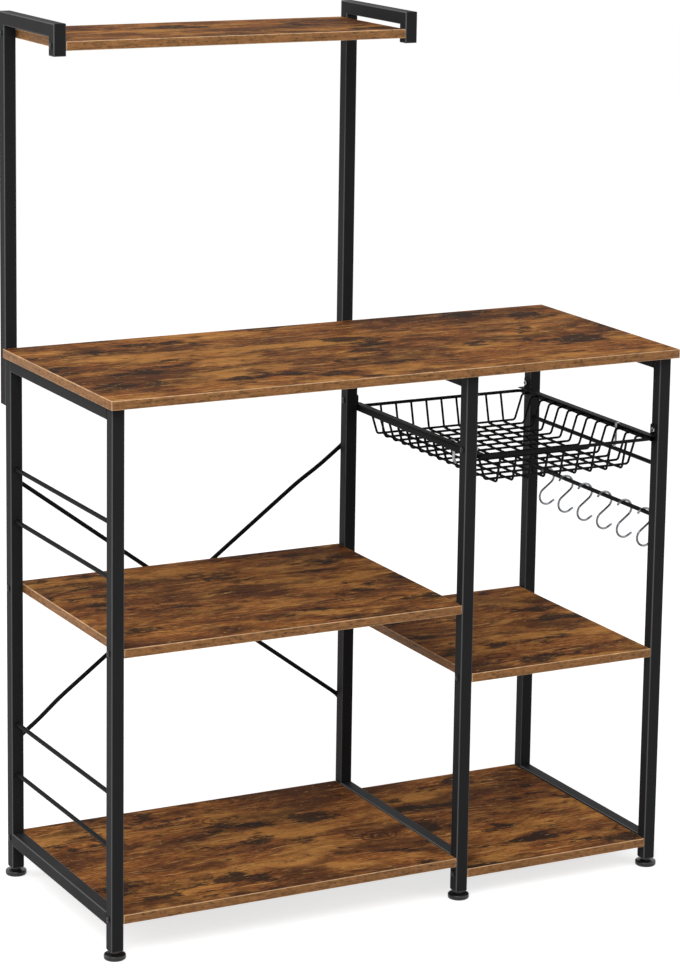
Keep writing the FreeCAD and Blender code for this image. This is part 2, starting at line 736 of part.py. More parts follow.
# Runners for the basket: a channel open towards the basket, with a tab rising at each end.
runner_base = dim("runner_top") - dim("runner_height")
margin = dim("runner_margin")
runner_ends = (frame_front + margin, frame_back - margin)
gauge = dim("runner_sheet")
tab_bolts = []
tab_nuts = []
for side, frame, way in (("left", "middle", 1), ("right", "right", -1)):
    label = "runner_" + side
    face = frame_x[frame] + half * way

    def across(name, near, far, y_low, y_high, z_low, z_high, way=way, face=face):
        low, high = sorted((face + size(near) * way, face + size(far) * way),
                           key=lambda item: item.value)
        return box(name, (low, y_low, z_low), (high, y_high, z_high))

    pieces = [
        across(label + "_web", 0.0, gauge, *runner_ends, runner_base, dim("runner_top")),
        across(label + "_flange", 0.0, dim("runner_flange"), *runner_ends, dim("runner_top") - gauge,
               dim("runner_top")),
        across(label + "_lip", 0.0, dim("runner_lip"), *runner_ends, runner_base, runner_base + gauge),
    ]
    drills = []
    for depth in DEPTHS:
        low = post_y[depth] - half + (margin if depth == "front" else 0.0)
        high = post_y[depth] + half - (0.0 if depth == "front" else margin)
        pieces.append(across("%s_tab_%s" % (label, depth), 0.0, dim("tab_sheet"), low, high,
                             dim("runner_top") - gauge, dim("runner_top") + dim("tab_rise")))
        drills.append(rod("%s_tab_drill_%s" % (label, depth), "x", hole, 6.0, face - 3.0, post_y[depth],
                          tab_level))
        name = "runner_bolt_%s_%s" % (side, depth)
        tab_bolts.append(fastener(name, "x", face - dim("tube") * way, post_y[depth], tab_level,
                                  (dim("tube") + dim("tab_sheet") + 3.6) * way, dim("screw"),
                                  dim("screw_head")))
        nut = doc.addObject("Part::Prism", name + "_nut_body")
        nut.Polygon = 6
        nut.Circumradius = dim("small_nut").value
        nut.Height = dim("small_nut_depth").value
        bind(nut, "Circumradius", dim("small_nut"))
        bind(nut, "Height", dim("small_nut_depth"))
        nut_x = face + dim("tab_sheet") if way > 0 else face - dim("tab_sheet") - dim("small_nut_depth")
        place(nut, nut_x, post_y[depth], tab_level, TO_X)
        bore = rod(name + "_nut_bore", "x", hole, 5.0, nut_x - 1.0, post_y[depth], tab_level)
        tab_nuts.append(cut(name + "_nut", nut, [bore]))
    node(cut(label + "_solid", fuse(label + "_body", pieces), drills), label)
node(group("runner_bolts_group", tab_bolts), "runner_bolts")
node(group("runner_nuts_group", tab_nuts), "runner_nuts")

# The wire basket. Its rim rides in the runners. The cross wires leave the rim level as a narrow
# shelf beside the runners, turn down and cross the floor; the long wires run front to back under them.
rim_radius = dim("rim_wire") / 2
mesh_radius = dim("mesh_wire") / 2
rim_level = runner_base + gauge + rim_radius + dim("loose")
rim_left = frame_x["middle"] + half + gauge + dim("rim_play") + rim_radius
rim_right = frame_x["right"] - half - gauge - dim("rim_play") - rim_radius
rim_front = frame_front + dim("rim_behind")
rim_back = frame_back - dim("rim_short")
basket_x = (rim_left + rim_right) / 2
basket_y = (rim_front + rim_back) / 2
node(wire("rim_loop", rim_radius,
          [(rim_left, rim_front), (rim_right, rim_front), (rim_right, rim_back), (rim_left, rim_back)],
          [dim("rim_bend")] * 4, PLANES["xy"], (0.0, 0.0, rim_level), True), "basket_rim")
seat = rim_radius + mesh_radius + dim("fit") / 2
deep = rim_level - dim("basket_floor")
half_long = (rim_back - rim_front) / 2 - seat
half_cross = (rim_right - rim_left) / 2
layer = dim("mesh_wire") + dim("fit")


def mesh_wires(name, half_path, plane, count, pitch, origin_of):
    """Equal wires side by side; half_path gives one half of their shape from its outer end."""
    left = [(-along, height) for along, height in half_path]
    right = [(along, height) for along, height in reversed(half_path)]
    bends = [0] + [dim("mesh_bend")] * (2 * len(half_path) - 2) + [0]
    made = []
    for index in range(count):
        shift = pitch * (index - (count - 1) / 2)
        made.append(wire("%s_%d" % (name, index), mesh_radius, left + right, bends, PLANES[plane],
                         origin_of(shift)))
    return made


long_half = [(half_long, 0.0), (half_long - dim("end_inset"), -deep - layer)]
butt = half_cross - rim_radius - dim("fit") / 2
knee = half_cross - dim("side_flange")
cross_half = [(butt, 0.0), (knee, 0.0), (knee - dim("side_inset"), -deep)]
node(group("long_wires_group",
           mesh_wires("long_wire", long_half, "yz", 9, dim("long_pitch"),
                      lambda shift: (basket_x + shift, basket_y, rim_level))), "basket_long_wires")
node(group("cross_wires_group",
           mesh_wires("cross_wire", cross_half, "xz", 13, dim("cross_pitch"),
                      lambda shift: (basket_x, basket_y + shift, rim_level))), "basket_cross_wires")

# Spring wire keepers: short stubs join them to the rim, two legs hang beside the runner's flange
# and a loop lies over it.
keepers = []
keeper_radius = dim("keeper_wire") / 2
leg_gap = dim("keeper_wire") + 0.6
keeper_y = rim_front + dim("keeper_place")
for side, way in (("left", -1), ("right", 1)):
    rim_x = rim_left if side == "left" else rim_right
    rim_place = gauge + dim("rim_play") + rim_radius
    leg_x = dim("runner_flange") + dim("loose") + keeper_radius - rim_place
    over = dim("runner_top") - rim_level + keeper_radius + dim("loose")
    tip = leg_x - dim("keeper_reach")
    flare = dim("keeper_flare")
    stub_start = rim_radius + dim("fit") / 2
    pieces = []
    for index, step in enumerate((-1, 1)):
        y = keeper_y + leg_gap * (step / 2)
        corners = [((leg_x + flare * 0.7) * -way, -dim("keeper_drop") - flare),
                   (leg_x * -way, -dim("keeper_drop")),
                   (leg_x * -way, over), (tip * -way, over)]
        pieces.append(wire("keeper_%s_%d" % (side, index), keeper_radius, corners, [0, 3.0, 2.0, 0],
                           PLANES["xz"], (rim_x, y, rim_level)))
        stub_x = rim_x + stub_start if way < 0 else rim_x - leg_x
        pieces.append(rod("keeper_stub_%s_%d" % (side, index), "x", keeper_radius * 0.9,
                          leg_x - stub_start, stub_x, y, rim_level))
    turn = FreeCAD.Rotation(FreeCAD.Vector(0, 0, 1), 90 if way < 0 else -90)
    pieces.append(ring("keeper_%s_loop" % side, leg_gap / 2, keeper_radius, rim_x - tip * way,
                       keeper_y, rim_level + over, 180.0, turn))
    keepers.append(fuse("keeper_" + side, pieces))
node(group("keepers_group", keepers), "basket_keepers")

# Six S-hooks on the rail. Each is one wire bent into an upper loop, a slant and a lower loop.
loop = dim("hook_loop")
wire_radius = dim("hook_wire") / 2
loop_mid = loop + wire_radius
upper = dim("rod") / 2 + dim("loose") - loop
lower = dim("rod") / 2 + dim("loose") + dim("hook_wire") - dim("hook_length") + loop

# The loops stand a little to the side of the rail, so that a hook hangs straight at rest.
UPPER_SLIDE = -0.65
LOWER_SLIDE = 0.55
TAIL_ANGLE = math.radians(150.0)
TIP_ANGLE = math.radians(-60.0)
for number in range(6):
    name = "hook_%d" % (number + 1)
    y = frame_back - dim("hook_start") - dim("hook_pitch") * number
    spine = doc.addObject("Sketcher::SketchObject", name + "_path")
    centres = ((UPPER_SLIDE, upper.value), (LOWER_SLIDE, lower.value))
    radius = loop_mid.value
    gap = FreeCAD.Vector(centres[1][0] - centres[0][0], centres[1][1] - centres[0][1], 0)
    heading = math.atan2(gap.y, gap.x)
    spread = math.acos(2 * radius / gap.Length)
    leave = heading + spread
    arrive = leave + math.pi
    middles = [FreeCAD.Vector(*centre, 0) for centre in centres]
    up, down = (Part.Circle(middle, FreeCAD.Vector(0, 0, 1), radius) for middle in middles)

    def around(middle, angle):
        return middle + FreeCAD.Vector(math.cos(angle), math.sin(angle), 0) * radius

    bend_end = around(middles[1], TIP_ANGLE)
    outward = FreeCAD.Vector(-math.sin(TIP_ANGLE), math.cos(TIP_ANGLE), 0)
    wire_end = bend_end + outward * dim("hook_tip").value
    spine.addGeometry(Part.ArcOfCircle(up, leave, TAIL_ANGLE), False)
    spine.addGeometry(Part.LineSegment(around(middles[0], leave), around(middles[1], arrive)), False)
    spine.addGeometry(Part.ArcOfCircle(down, arrive, TIP_ANGLE + 2 * math.pi), False)
    spine.addGeometry(Part.LineSegment(bend_end, wire_end), False)
    spine.addConstraint(Sketcher.Constraint("Tangent", 0, 1, 1, 1))
    spine.addConstraint(Sketcher.Constraint("Tangent", 1, 2, 2, 1))
    spine.addConstraint(Sketcher.Constraint("Tangent", 2, 2, 3, 1))
    fixed = spine.addConstraint(Sketcher.Constraint("Distance", 3, dim("hook_tip").value))
    spine.setExpression("Constraints[%d]" % fixed, dim("hook_tip").text)
    for arc, centre, level in ((0, centres[0], upper), (2, centres[1], lower)):
        spine.addConstraint(Sketcher.Constraint("DistanceX", -1, 1, arc, 3, centre[0]))
        fixed = spine.addConstraint(Sketcher.Constraint("DistanceY", -1, 1, arc, 3, level.value))
        spine.setExpression("Constraints[%d]" % fixed, level.text)
        fixed = spine.addConstraint(Sketcher.Constraint("Radius", arc, radius))
        spine.setExpression("Constraints[%d]" % fixed, loop_mid.text)
    place(spine, frame_x["right"], y, dim("hook_rod"), PLANES["xz"])
    wire_start = around(middles[0], TAIL_ANGLE)
    section = doc.addObject("Part::Circle", name + "_section")
    section.Radius = wire_radius.value
    bind(section, "Radius", wire_radius)
    way = FreeCAD.Vector(math.sin(TAIL_ANGLE), -math.cos(TAIL_ANGLE), 0)
    turn = PLANES["xz"].multiply(FreeCAD.Rotation(FreeCAD.Vector(0, 0, 1), way))
    place(section, frame_x["right"] + wire_start.x, y, dim("hook_rod") + wire_start.y, turn)
    bend = doc.addObject("Part::Sweep", name + "_wire")
    bend.Sections = [section]
    bend.Spine = (spine, [])
    bend.Solid = True
    bend.Frenet = False
    node(bend, name)

doc.recompute()
for thing in doc.Objects:
    if "Invalid" in thing.State or "Error" in thing.State:
        raise RuntimeError("%s did not compute: %s" % (thing.Name, thing.State))
os.makedirs("parts", exist_ok=True)
for thing in NODES:
    if thing.Shape.isNull() or not thing.Shape.isValid() or not thing.Shape.Solids:
        raise RuntimeError("%s has no sound solid" % thing.Label)
for thing in NODES:
    thing.Shape.exportStep("parts/%s.step" % thing.Label)
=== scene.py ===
"""A kitchen rack, dressed for a picture.

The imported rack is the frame. Each operator below models one kind of piece or sets up the studio:
laminated boards with banded edges, powder-coated steel with its weld beads, the sheet runners, the
crossed brace, the basket's spot welds, the S-hooks, the levelling feet and plugs, and the screws.
"""

import math

import bmesh
import bpy
from bpy.props import FloatProperty, FloatVectorProperty, PointerProperty
from mathutils import Matrix, Vector


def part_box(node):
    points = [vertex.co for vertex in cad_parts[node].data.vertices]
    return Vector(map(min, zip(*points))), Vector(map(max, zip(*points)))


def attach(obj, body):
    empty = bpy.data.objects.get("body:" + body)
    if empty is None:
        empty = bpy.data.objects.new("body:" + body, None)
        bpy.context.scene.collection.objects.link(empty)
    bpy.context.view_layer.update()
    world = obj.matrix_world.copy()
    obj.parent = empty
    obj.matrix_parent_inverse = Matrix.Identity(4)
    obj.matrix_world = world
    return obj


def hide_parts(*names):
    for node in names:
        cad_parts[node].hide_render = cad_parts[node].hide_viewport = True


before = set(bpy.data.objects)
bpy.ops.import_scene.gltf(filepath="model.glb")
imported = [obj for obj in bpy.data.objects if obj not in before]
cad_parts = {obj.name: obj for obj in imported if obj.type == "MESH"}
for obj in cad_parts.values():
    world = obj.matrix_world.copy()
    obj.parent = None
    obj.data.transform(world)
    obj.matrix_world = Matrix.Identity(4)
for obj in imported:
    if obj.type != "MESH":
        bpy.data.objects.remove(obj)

bl_info = {
    "name": "Kitchen Rack",
    "version": (1, 0, 0),
    "blender": (4, 5, 0),
    "location": "3D View > Sidebar > Rack",
    "description": "Models and finishes a kitchen rack with a wire basket and hooks",
    "category": "Object",
}

MM = 0.001
FRAMES = ("left", "middle", "right")
DEPTHS = ("front", "rear")
BOARDS = (
    "countertop",
    "top_shelf",
    "middle_shelf_left",
    "middle_shelf_right",
    "bottom_shelf_left",
    "bottom_shelf_right",
)
TUBE_NODES = (
    [f"{side}_{depth}_post" for side in FRAMES for depth in DEPTHS]
    + [f"{side}_{level}_rail" for side in FRAMES for level in ("top", "bottom")]
    + [f"hutch_{side}_{part}" for side in ("left", "right") for part in ("upright", "arm", "drop")]
)
BAR_NODES = ("left_side_rods", "right_guard_rod", "hook_rail")
BASKET_NODES = ("basket_rim", "basket_long_wires", "basket_cross_wires")

# Points closer than this are one point, and a face is square to an axis from this share of its normal.
TOUCH = 1e-6
SQUARE = 0.99

# The bow of the rear brace bar: millimetres from its screw, and the share of the way over to the back.
BRACE_BOW = ((40, 0), (52, 0.06), (64, 0.27), (74, 0.5), (84, 0.73), (96, 0.94), (108, 1))
BRACE_PLAY = 0.3 * MM

# The glide's disc from the floor up: millimetres of height, and the share of its radius.
FOOT_DISC = (
    (0.0, 0.86), (0.2, 0.92), (0.8, 0.975), (1.6, 1.0), (3.2, 1.0), (3.5, 0.975), (3.8, 1.0), (5.9, 1.0),
    (6.7, 0.97), (7.3, 0.89), (7.6, 0.74), (8.0, 0.6),
)
# The glide's neck and stud above it, and the rings of the stud's thread, in millimetres.
FOOT_NECK = ((8.8, 7.0), (11.0, 7.0), (11.5, 6.6), (11.5, 2.7))
FOOT_RINGS = 13
FOOT_CREST = (12.0, 2.95)
FOOT_ROOT = (12.5, 2.6)
FOOT_TIP = (25.2, 2.3)

# The screws' head from its top down: millimetres of depth, and the share of its radius.
SCREW_HEAD = ((0.0, 0.3), (0.06, 0.5), (0.25, 0.74), (0.6, 0.91), (1.1, 1.0), (2.2, 1.0))
SCREW_PITCH = 0.8 * MM
# Half the width of each kind of screw's shank in millimetres.
SCREWS = (
    ("shelf_screws", 2.0),
    ("top_shelf_screws", 2.0),
    ("countertop_screws", 2.0),
    ("brace_screws", 2.0),
    ("hutch_bolts", 2.5),
    ("runner_bolts", 2.0),
)

# Each lamp's name, place, the point it aims at, its width in metres and its power in watts.
LAMPS = (
    ("key_lamp", (-2.3, -2.4, 3.6), (0, 0, 0.6), 2.4, 95),
    ("side_lamp", (-3.2, 1.6, 1.9), (0, 0, 0.8), 1.8, 40),
    ("fill_lamp", (2.6, -3.2, 2.2), (0, 0, 0.6), 2.4, 25),
)
# Where the camera stands, which way it looks, how far it leans and rolls, and its lens.
CAMERA_PLACE = (-2.1253, -4.0594, 1.7007)
CAMERA_HEADING = math.radians(27.635)
CAMERA_PITCH = math.radians(-10.896)
CAMERA_ROLL = math.radians(0.853)
CAMERA_LENS = 119.72
CAMERA_SHIFT = -0.1598


def linear(code):
    """An sRGB hex colour as the linear red, green, blue and alpha that a shader takes."""
    parts = [int(code[at:at + 2], 16) / 255 for at in (1, 3, 5)]
    return [c / 12.92 if c <= 0.04045 else ((c + 0.055) / 1.055) ** 2.4 for c in parts] + [1.0]


def shade(colour, factor):
    """A colour made lighter or darker."""
    return [min(1.0, part * factor) for part in colour[:3]] + [1.0]


def hue(name, note, code):
    """A colour that a user can change."""
    return FloatVectorProperty(
        name=name, description=note, subtype="COLOR", size=4, min=0, max=1, default=linear(code)
    )


def length(name, note, millimetres, least=0.0):
    """A length that a user can change."""
    return FloatProperty(
        name=name, description=note, unit="LENGTH", min=least * MM, default=millimetres * MM)


class RackColours(bpy.types.PropertyGroup):
    """Colours of the finishes"""

    coat: hue("Tube coat", "Black powder coat on the square tube", "#1f1f20")
    wire_coat: hue("Wire coat", "Black powder coat on bars, wires and folded sheet", "#131314")
    wood_dark: hue("Wood, dark", "Dark clouds of the printed wood", "#2b1d17")
    wood_brown: hue("Wood, brown", "Ground colour of the printed wood", "#6c4126")
    wood_light: hue("Wood, light", "Lightest streaks of the printed wood", "#c78e4c")
    band: hue("Edge band", "Ground colour of the edge band", "#8b6038")
    band_cut: hue("Band edge", "Cut edge of the band round each board", "#c9a27a")
    plastic: hue("Plastic", "Feet and plugs", "#121212")
    chrome: hue("Chrome", "Hooks", "#7b7e82")
    zinc: hue("Zinc", "Nuts and basket keepers", "#b9bcc0")


class RackSizes(bpy.types.PropertyGroup):
    """Sizes of the pieces that are modelled over the frame"""

    band: length("Band", "Thickness of the edge band", 1.0)
    board_edge: length("Board edge", "Radius of the boards' edges", 0.9)
    bead: length("Weld bead", "Radius of the weld beads", 1.7)
    spot: length("Spot weld", "Radius of the basket's spot welds", 1.9)
    sheet: length("Runner sheet", "Thickness of the folded runners", 1.2)
    tab: length("Tab sheet", "Thickness of the runners' tabs", 1.5)
    tab_width: length("Tab width", "Width of the runners' tabs", 16.0)
    tab_corner: length("Tab corner", "Radius of the tabs' upper corners", 3.0)
    lip: length("Runner lip", "Width of the runners' lower lip", 6.2)
    runner: length("Runner height", "Height of the runners between their tabs", 10.0)
    brace_rod: length("Brace bar", "Radius of the crossed bars", 3.2)
    brace_flat: length("Pressed end", "Half thickness of the bars' flat ends", 1.25)
    brace_eye: length("Brace eye", "Radius of the bars' round ends", 6.0)
    hook_wire: length("Hook wire", "Radius of the hooks' wire", 1.7)
    upper_slide: length("Upper slide", "Upper loops' place beside the rail", -0.65, least=-3.0)
    lower_slide: length("Lower slide", "Lower loops' place beside the rail", 0.55, least=-3.0)
    hook_loop: length("Hook loop", "Radius of the hooks' loops to the middle of the wire", 13.0)
    hook_tip: length("Hook tip", "Straight tip of the hooks' lower loop", 7.0)


def edit_mesh():
    """Enters edit mode on the active piece, with its whole mesh selected."""
    bpy.ops.object.mode_set(mode="EDIT")
    bpy.ops.mesh.select_all(action="SELECT")


def leave_mesh():
    """Goes back from edit mode to the piece as a whole."""
    bpy.ops.object.mode_set(mode="OBJECT")


def turn_outwards():
    """In edit mode, selects the whole mesh and makes its faces point outwards."""
    bpy.ops.mesh.select_all(action="SELECT")
    bpy.ops.mesh.normals_make_consistent(inside=False)


def resized(scale, middle=(0, 0, 0)):
    """In edit mode, scales what is selected from a point."""
    bpy.ops.transform.resize(value=scale, center_override=middle)


def extruded(step):
    """In edit mode, pulls what is selected out by one step."""
    bpy.ops.mesh.extrude_region_move(TRANSFORM_OT_translate={"value": step})


def select_only(*pieces):
    """Selects these pieces and no others, the first of them active."""
    bpy.ops.object.select_all(action="DESELECT")
    for piece in pieces:
        piece.select_set(True)
    bpy.context.view_layer.objects.active = pieces[0]


def pick(piece, kind, test):
    """In edit mode, selects just the points, edges or faces that pass the test."""
    bpy.ops.mesh.select_mode(type=kind)
    bpy.ops.mesh.select_all(action="DESELECT")
    shape = bmesh.from_edit_mesh(piece.data)
    for part in {"VERT": shape.verts, "EDGE": shape.edges, "FACE": shape.faces}[kind]:
        if test(part):
            part.select_set(True)
    shape.select_flush_mode()
    bmesh.update_edit_mesh(piece.data)


def block(low, high):
    """A block between two opposite corners."""
    low, high = Vector(low), Vector(high)
    bpy.ops.mesh.primitive_cube_add(size=1, location=(low + high) / 2, scale=high - low)
    bpy.ops.object.transform_apply()
    return bpy.context.object


def pulled(stations, sides):
    """A round section pulled along X through stations of (x, y, half size in y, half size in z)."""
    x, y, half_y, half_z = stations[0]
    bpy.ops.mesh.primitive_circle_add(
        vertices=sides, radius=1, fill_type="NGON", rotation=(0, math.pi / 2, 0)
    )
    piece = bpy.context.object
    bpy.ops.object.transform_apply()
    edit_mesh()
    resized((1, half_y, half_z))
    bpy.ops.transform.translate(value=(x, y, 0))
    for next_x, next_y, next_half_y, next_half_z in stations[1:]:
        extruded((next_x - x, next_y - y, 0))
        resized((1, next_half_y / half_y, next_half_z / half_z), (next_x, next_y, 0))
        x, y, half_y, half_z = next_x, next_y, next_half_y, next_half_z
    turn_outwards()
    leave_mesh()
    return piece


def turned(profile, sides):
    """A turned piece along X from a profile of (x, radius)."""
    return pulled([(x, 0.0, radius, radius) for x, radius in profile], sides)


def put(piece, matrix):
    """Moves a piece's mesh, which leaves the object itself at the origin."""
    piece.data.transform(matrix)
    if matrix.determinant() < 0:
        piece.data.flip_normals()
    piece.data.update()
    return piece


def copied(piece, matrix):
    """A copy of a piece, with its own mesh, in another place."""
    twin = piece.copy()
    twin.data = piece.data.copy()
    bpy.context.scene.collection.objects.link(twin)
    return put(twin, matrix)


def pointing(place, along, spin=0.0):
    """The matrix that lays the X axis along a direction, from a place."""
    turn = Vector(along).to_track_quat("X", "Z").to_matrix().to_4x4()
    return Matrix.Translation(place) @ turn @ Matrix.Rotation(spin, 4, "X")


def looking(place, way):
    """The matrix of a lamp or camera that looks along a direction, from a place."""
    return Matrix.Translation(place) @ Vector(way).to_track_quat("-Z", "Y").to_matrix().to_4x4()


def joined(pieces):
    """Several pieces as one."""
    select_only(*pieces)
    if len(pieces) > 1:
        bpy.ops.object.join()
    return bpy.context.object


def apply_modifier(piece, kind, **settings):
    """Adds a modifier to a piece and applies it."""
    select_only(piece)
    modifier = piece.modifiers.new(kind.title(), kind)
    for field, value in settings.items():
        setattr(modifier, field, value)
    bpy.ops.object.modifier_apply(modifier=modifier.name)


def drop(piece):
    """Removes a piece that was only a pattern or a cutter."""
    bpy.data.objects.remove(piece)


def done(piece, name, body, finishes, stands_for=(), smooth=35):
    """Names a finished piece, gives it its finishes and hands it to the frame."""
    select_only(piece)
    bpy.ops.object.shade_smooth_by_angle(angle=math.radians(smooth))
    piece.name = name
    piece.data.name = name
    if finishes:
        piece.data.materials.clear()
    for finish in finishes:
        piece.data.materials.append(finish)
    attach(piece, body)
    if stands_for:
        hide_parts(*stands_for)
    return piece


def solids(node):
    """The points of each separate solid of a CAD node."""
    shape = bmesh.new()
    shape.from_mesh(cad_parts[node].data)
    bmesh.ops.remove_doubles(shape, verts=shape.verts, dist=0.002 * MM)
    left = set(shape.verts)
    groups = []
    # The mesh's own order, unlike the set's, is the same in each run.
    for first in shape.verts:
        if first not in left:
            continue
        left.remove(first)
        reached = [first]
        for point in reached:
            for edge in point.link_edges:
                other = edge.other_vert(point)
                if other in left:
                    left.remove(other)
                    reached.append(other)
        groups.append([point.co.copy() for point in reached])
    shape.free()
    return groups


def softened(node, radius):
    """A CAD node's solids as clean faces, with their sharp edges rounded."""
    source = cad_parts[node]
    piece = source.copy()
    piece.data = source.data.copy()
    piece.parent = None
    piece.matrix_world = Matrix.Identity(4)
    bpy.context.scene.collection.objects.link(piece)
    select_only(piece)
    edit_mesh()
    bpy.ops.mesh.remove_doubles(threshold=0.002 * MM)
    bpy.ops.mesh.dissolve_limited(angle_limit=math.radians(1.0))
    turn_outwards()
    leave_mesh()
    bpy.ops.mesh.customdata_custom_splitnormals_clear()
    apply_modifier(piece, "BEVEL", width=radius, segments=3, limit_method="ANGLE",
                   angle_limit=math.radians(50), use_clamp_overlap=True)
    return piece


def pan_head_screw(whole, head, shank):
    """A pan head screw along X from the top of its head, with a cross recess and a rolled thread."""
    profile = [(depth * MM, head * share) for depth, share in SCREW_HEAD]
    thread = max(whole - 8 * MM, 4 * MM)
    profile += [(profile[-1][0], shank), (thread, shank)]
    for ridge in range(int((whole - thread) / SCREW_PITCH)):
        profile += [(thread + (ridge + 0.4) * SCREW_PITCH, shank * 0.82),
                    (thread + (ridge + 0.9) * SCREW_PITCH, shank)]
    profile[-1] = (whole, shank * 0.6)
    screw = turned(profile, 24)
    deep, slot = 1.5 * MM, head * 0.24
    cutters = []
    for wide, high in ((head, slot), (slot, head)):
        cutter = block((-MM, -wide / 2, -high / 2), (deep, wide / 2, high / 2))
        edit_mesh()
        pick(cutter, "FACE", lambda face: face.normal.x > 0.9)
        resized((1, 0.6, 0.6), (deep, 0, 0))
        leave_mesh()
        cutters.append(cutter)
    for cutter in cutters:
        apply_modifier(screw, "BOOLEAN", object=cutter, operation="DIFFERENCE", solver="EXACT")
        drop(cutter)
    return screw


def corners(points):
    """The lowest and highest corners of some points."""
    low = Vector([min(point[axis] for point in points) for axis in range(3)])
    high = Vector([max(point[axis] for point in points) for axis in range(3)])
    return low, high


def add_node(tree, kind, settings=None, inputs=None, stops=None):
    """Adds a shader node with its own settings, its inputs as values or links, and a ramp's stops."""
    node = tree.nodes.new(kind)
    for field, value in (settings or {}).items():
        setattr(node, field, value)
    for key, value in (inputs or {}).items():
        if isinstance(value, bpy.types.NodeSocket):
            tree.links.new(value, node.inputs[key])
        else:
            node.inputs[key].default_value = value
    for number, (place, colour) in enumerate(stops or ()):
        ramp = node.color_ramp.elements
        stop = ramp[number] if number < 2 else ramp.new(place)
        stop.position = place
        stop.color = colour
    return node


def new_material(name):
    """An empty material with its shader and output, and the point in object space."""
    old = bpy.data.materials.get(name)
    if old:
        return old, None, None, None
    material = bpy.data.materials.new(name)
    material.use_nodes = True
    tree = material.node_tree
    tree.nodes.clear()
    shader = add_node(tree, "ShaderNodeBsdfPrincipled")
    add_node(tree, "ShaderNodeOutputMaterial", inputs={"Surface": shader.outputs["BSDF"]})
    point = add_node(tree, "ShaderNodeTexCoord").outputs["Object"]
    return material, tree, shader, point


def scaled(length_mm, width_mm, height_mm):
    """The Mapping scale at which one noise cell has this size."""
    return (1000 / length_mm, 1000 / width_mm, 1000 / height_mm)


def powder_coat(colours, tube=False):
    """Steel with a baked black powder coat: satin, with the faint orange peel that powder leaves; on tubes, a
    painted highlight runs along each corner.
    """
    name = "Steel tube, black powder coat, painted corner highlights" if tube else "Steel, black powder coat"
    material, tree, shader, point = new_material(name)
    if tree is None:
        return material
    # Orange peel: cells about 1.5 mm across and a few hundredths deep break up every reflection.
    peel = add_node(tree, "ShaderNodeTexNoise", inputs={
        "Vector": point, "Scale": 1000 / 1.5, "Detail": 2.0, "Roughness": 0.5})
    # Slow changes in film thickness, a hand's breadth wide, shift the sheen slightly.
    film = add_node(tree, "ShaderNodeTexNoise", inputs={
        "Vector": point, "Scale": 1000 / 90, "Detail": 3.0, "Roughness": 0.5})
    coat = colours.coat if tube else colours.wire_coat
    tone = add_node(tree, "ShaderNodeMixRGB", inputs={
        "Fac": film.outputs["Fac"], "Color1": coat, "Color2": shade(coat, 1.35)})
    colour = tone.outputs["Color"]
    if tube:
        # Painted highlight: a fine pale line is painted along each of the square tube's corners, where its
        # rounded edge would catch the lamps.
        normal = add_node(tree, "ShaderNodeTexCoord").outputs["Normal"]
        facing = add_node(tree, "ShaderNodeVectorMath", {"operation": "ABSOLUTE"}, {0: normal})
        parts = add_node(tree, "ShaderNodeSeparateXYZ", inputs={"Vector": facing.outputs["Vector"]})
        square = parts.outputs["X"]
        for axis in ("Y", "Z"):
            largest = add_node(tree, "ShaderNodeMath", {"operation": "MAXIMUM"}, {
                0: square, 1: parts.outputs[axis]})
            square = largest.outputs["Value"]
        corner = add_node(tree, "ShaderNodeMapRange", inputs={
            "Value": square, "From Min": 0.9, "From Max": 0.985, "To Min": 0.8, "To Max": 0.0})
        # The pale corner line is a painted highlight, mixed over the coat's own colour.
        thin = add_node(tree, "ShaderNodeMixRGB", inputs={
            "Fac": corner.outputs["Result"], "Color1": colour, "Color2": linear("#646466")})
        colour = thin.outputs["Color"]
    sheen = add_node(tree, "ShaderNodeMapRange", inputs={
        "Value": film.outputs["Fac"], "From Min": 0.3, "From Max": 0.7, "To Min": 0.52, "To Max": 0.6})
    relief = add_node(tree, "ShaderNodeBump", inputs={
        "Height": peel.outputs["Fac"], "Strength": 0.3, "Distance": 0.04 * MM})
    tree.links.new(colour, shader.inputs["Base Color"])
    tree.links.new(sheen.outputs["Result"], shader.inputs["Roughness"])
    tree.links.new(relief.outputs["Normal"], shader.inputs["Normal"])
    shader.inputs["Specular IOR Level"].default_value = 0.06
    return material


# The layers of the wood print over its ground, from below up: what each one is, its colour, the length,
# width and height of its cells in millimetres, its place in the noise, where it starts to show and
# where it is full, and how strongly it shows.
PRINT_LAYERS = (
    ("golden fields", "#c08545", (165, 60, 60), (4.1, 0.6, 2.2), 0.49, 0.61, 0.75),
    ("bleached streaks", "#dba863", (90, 5, 5), (1.7, 3.9, 6.1), 0.56, 0.66, 0.7),
    ("heartwood", "#47291a", (180, 78, 78), (9.2, 5.1, 3.3), 0.475, 0.61, 0.8),
    ("weathered clouds", "#281d18", (125, 52, 52), (7.3, 2.1, 4.4), 0.55, 0.61, 0.9),
    ("charred marks", "#150f0c", (40, 9, 9), (2.2, 9.4, 5.5), 0.62, 0.67, 0.95),
    ("grain flecks", "#3a2316", (24, 1.9, 1.9), (5.2, 1.4, 8.3), 0.55, 0.63, 0.6),
    ("resin flecks", "#e2b673", (20, 2.6, 2.6), (6.6, 7.4, 0.5), 0.6, 0.68, 0.75),
)


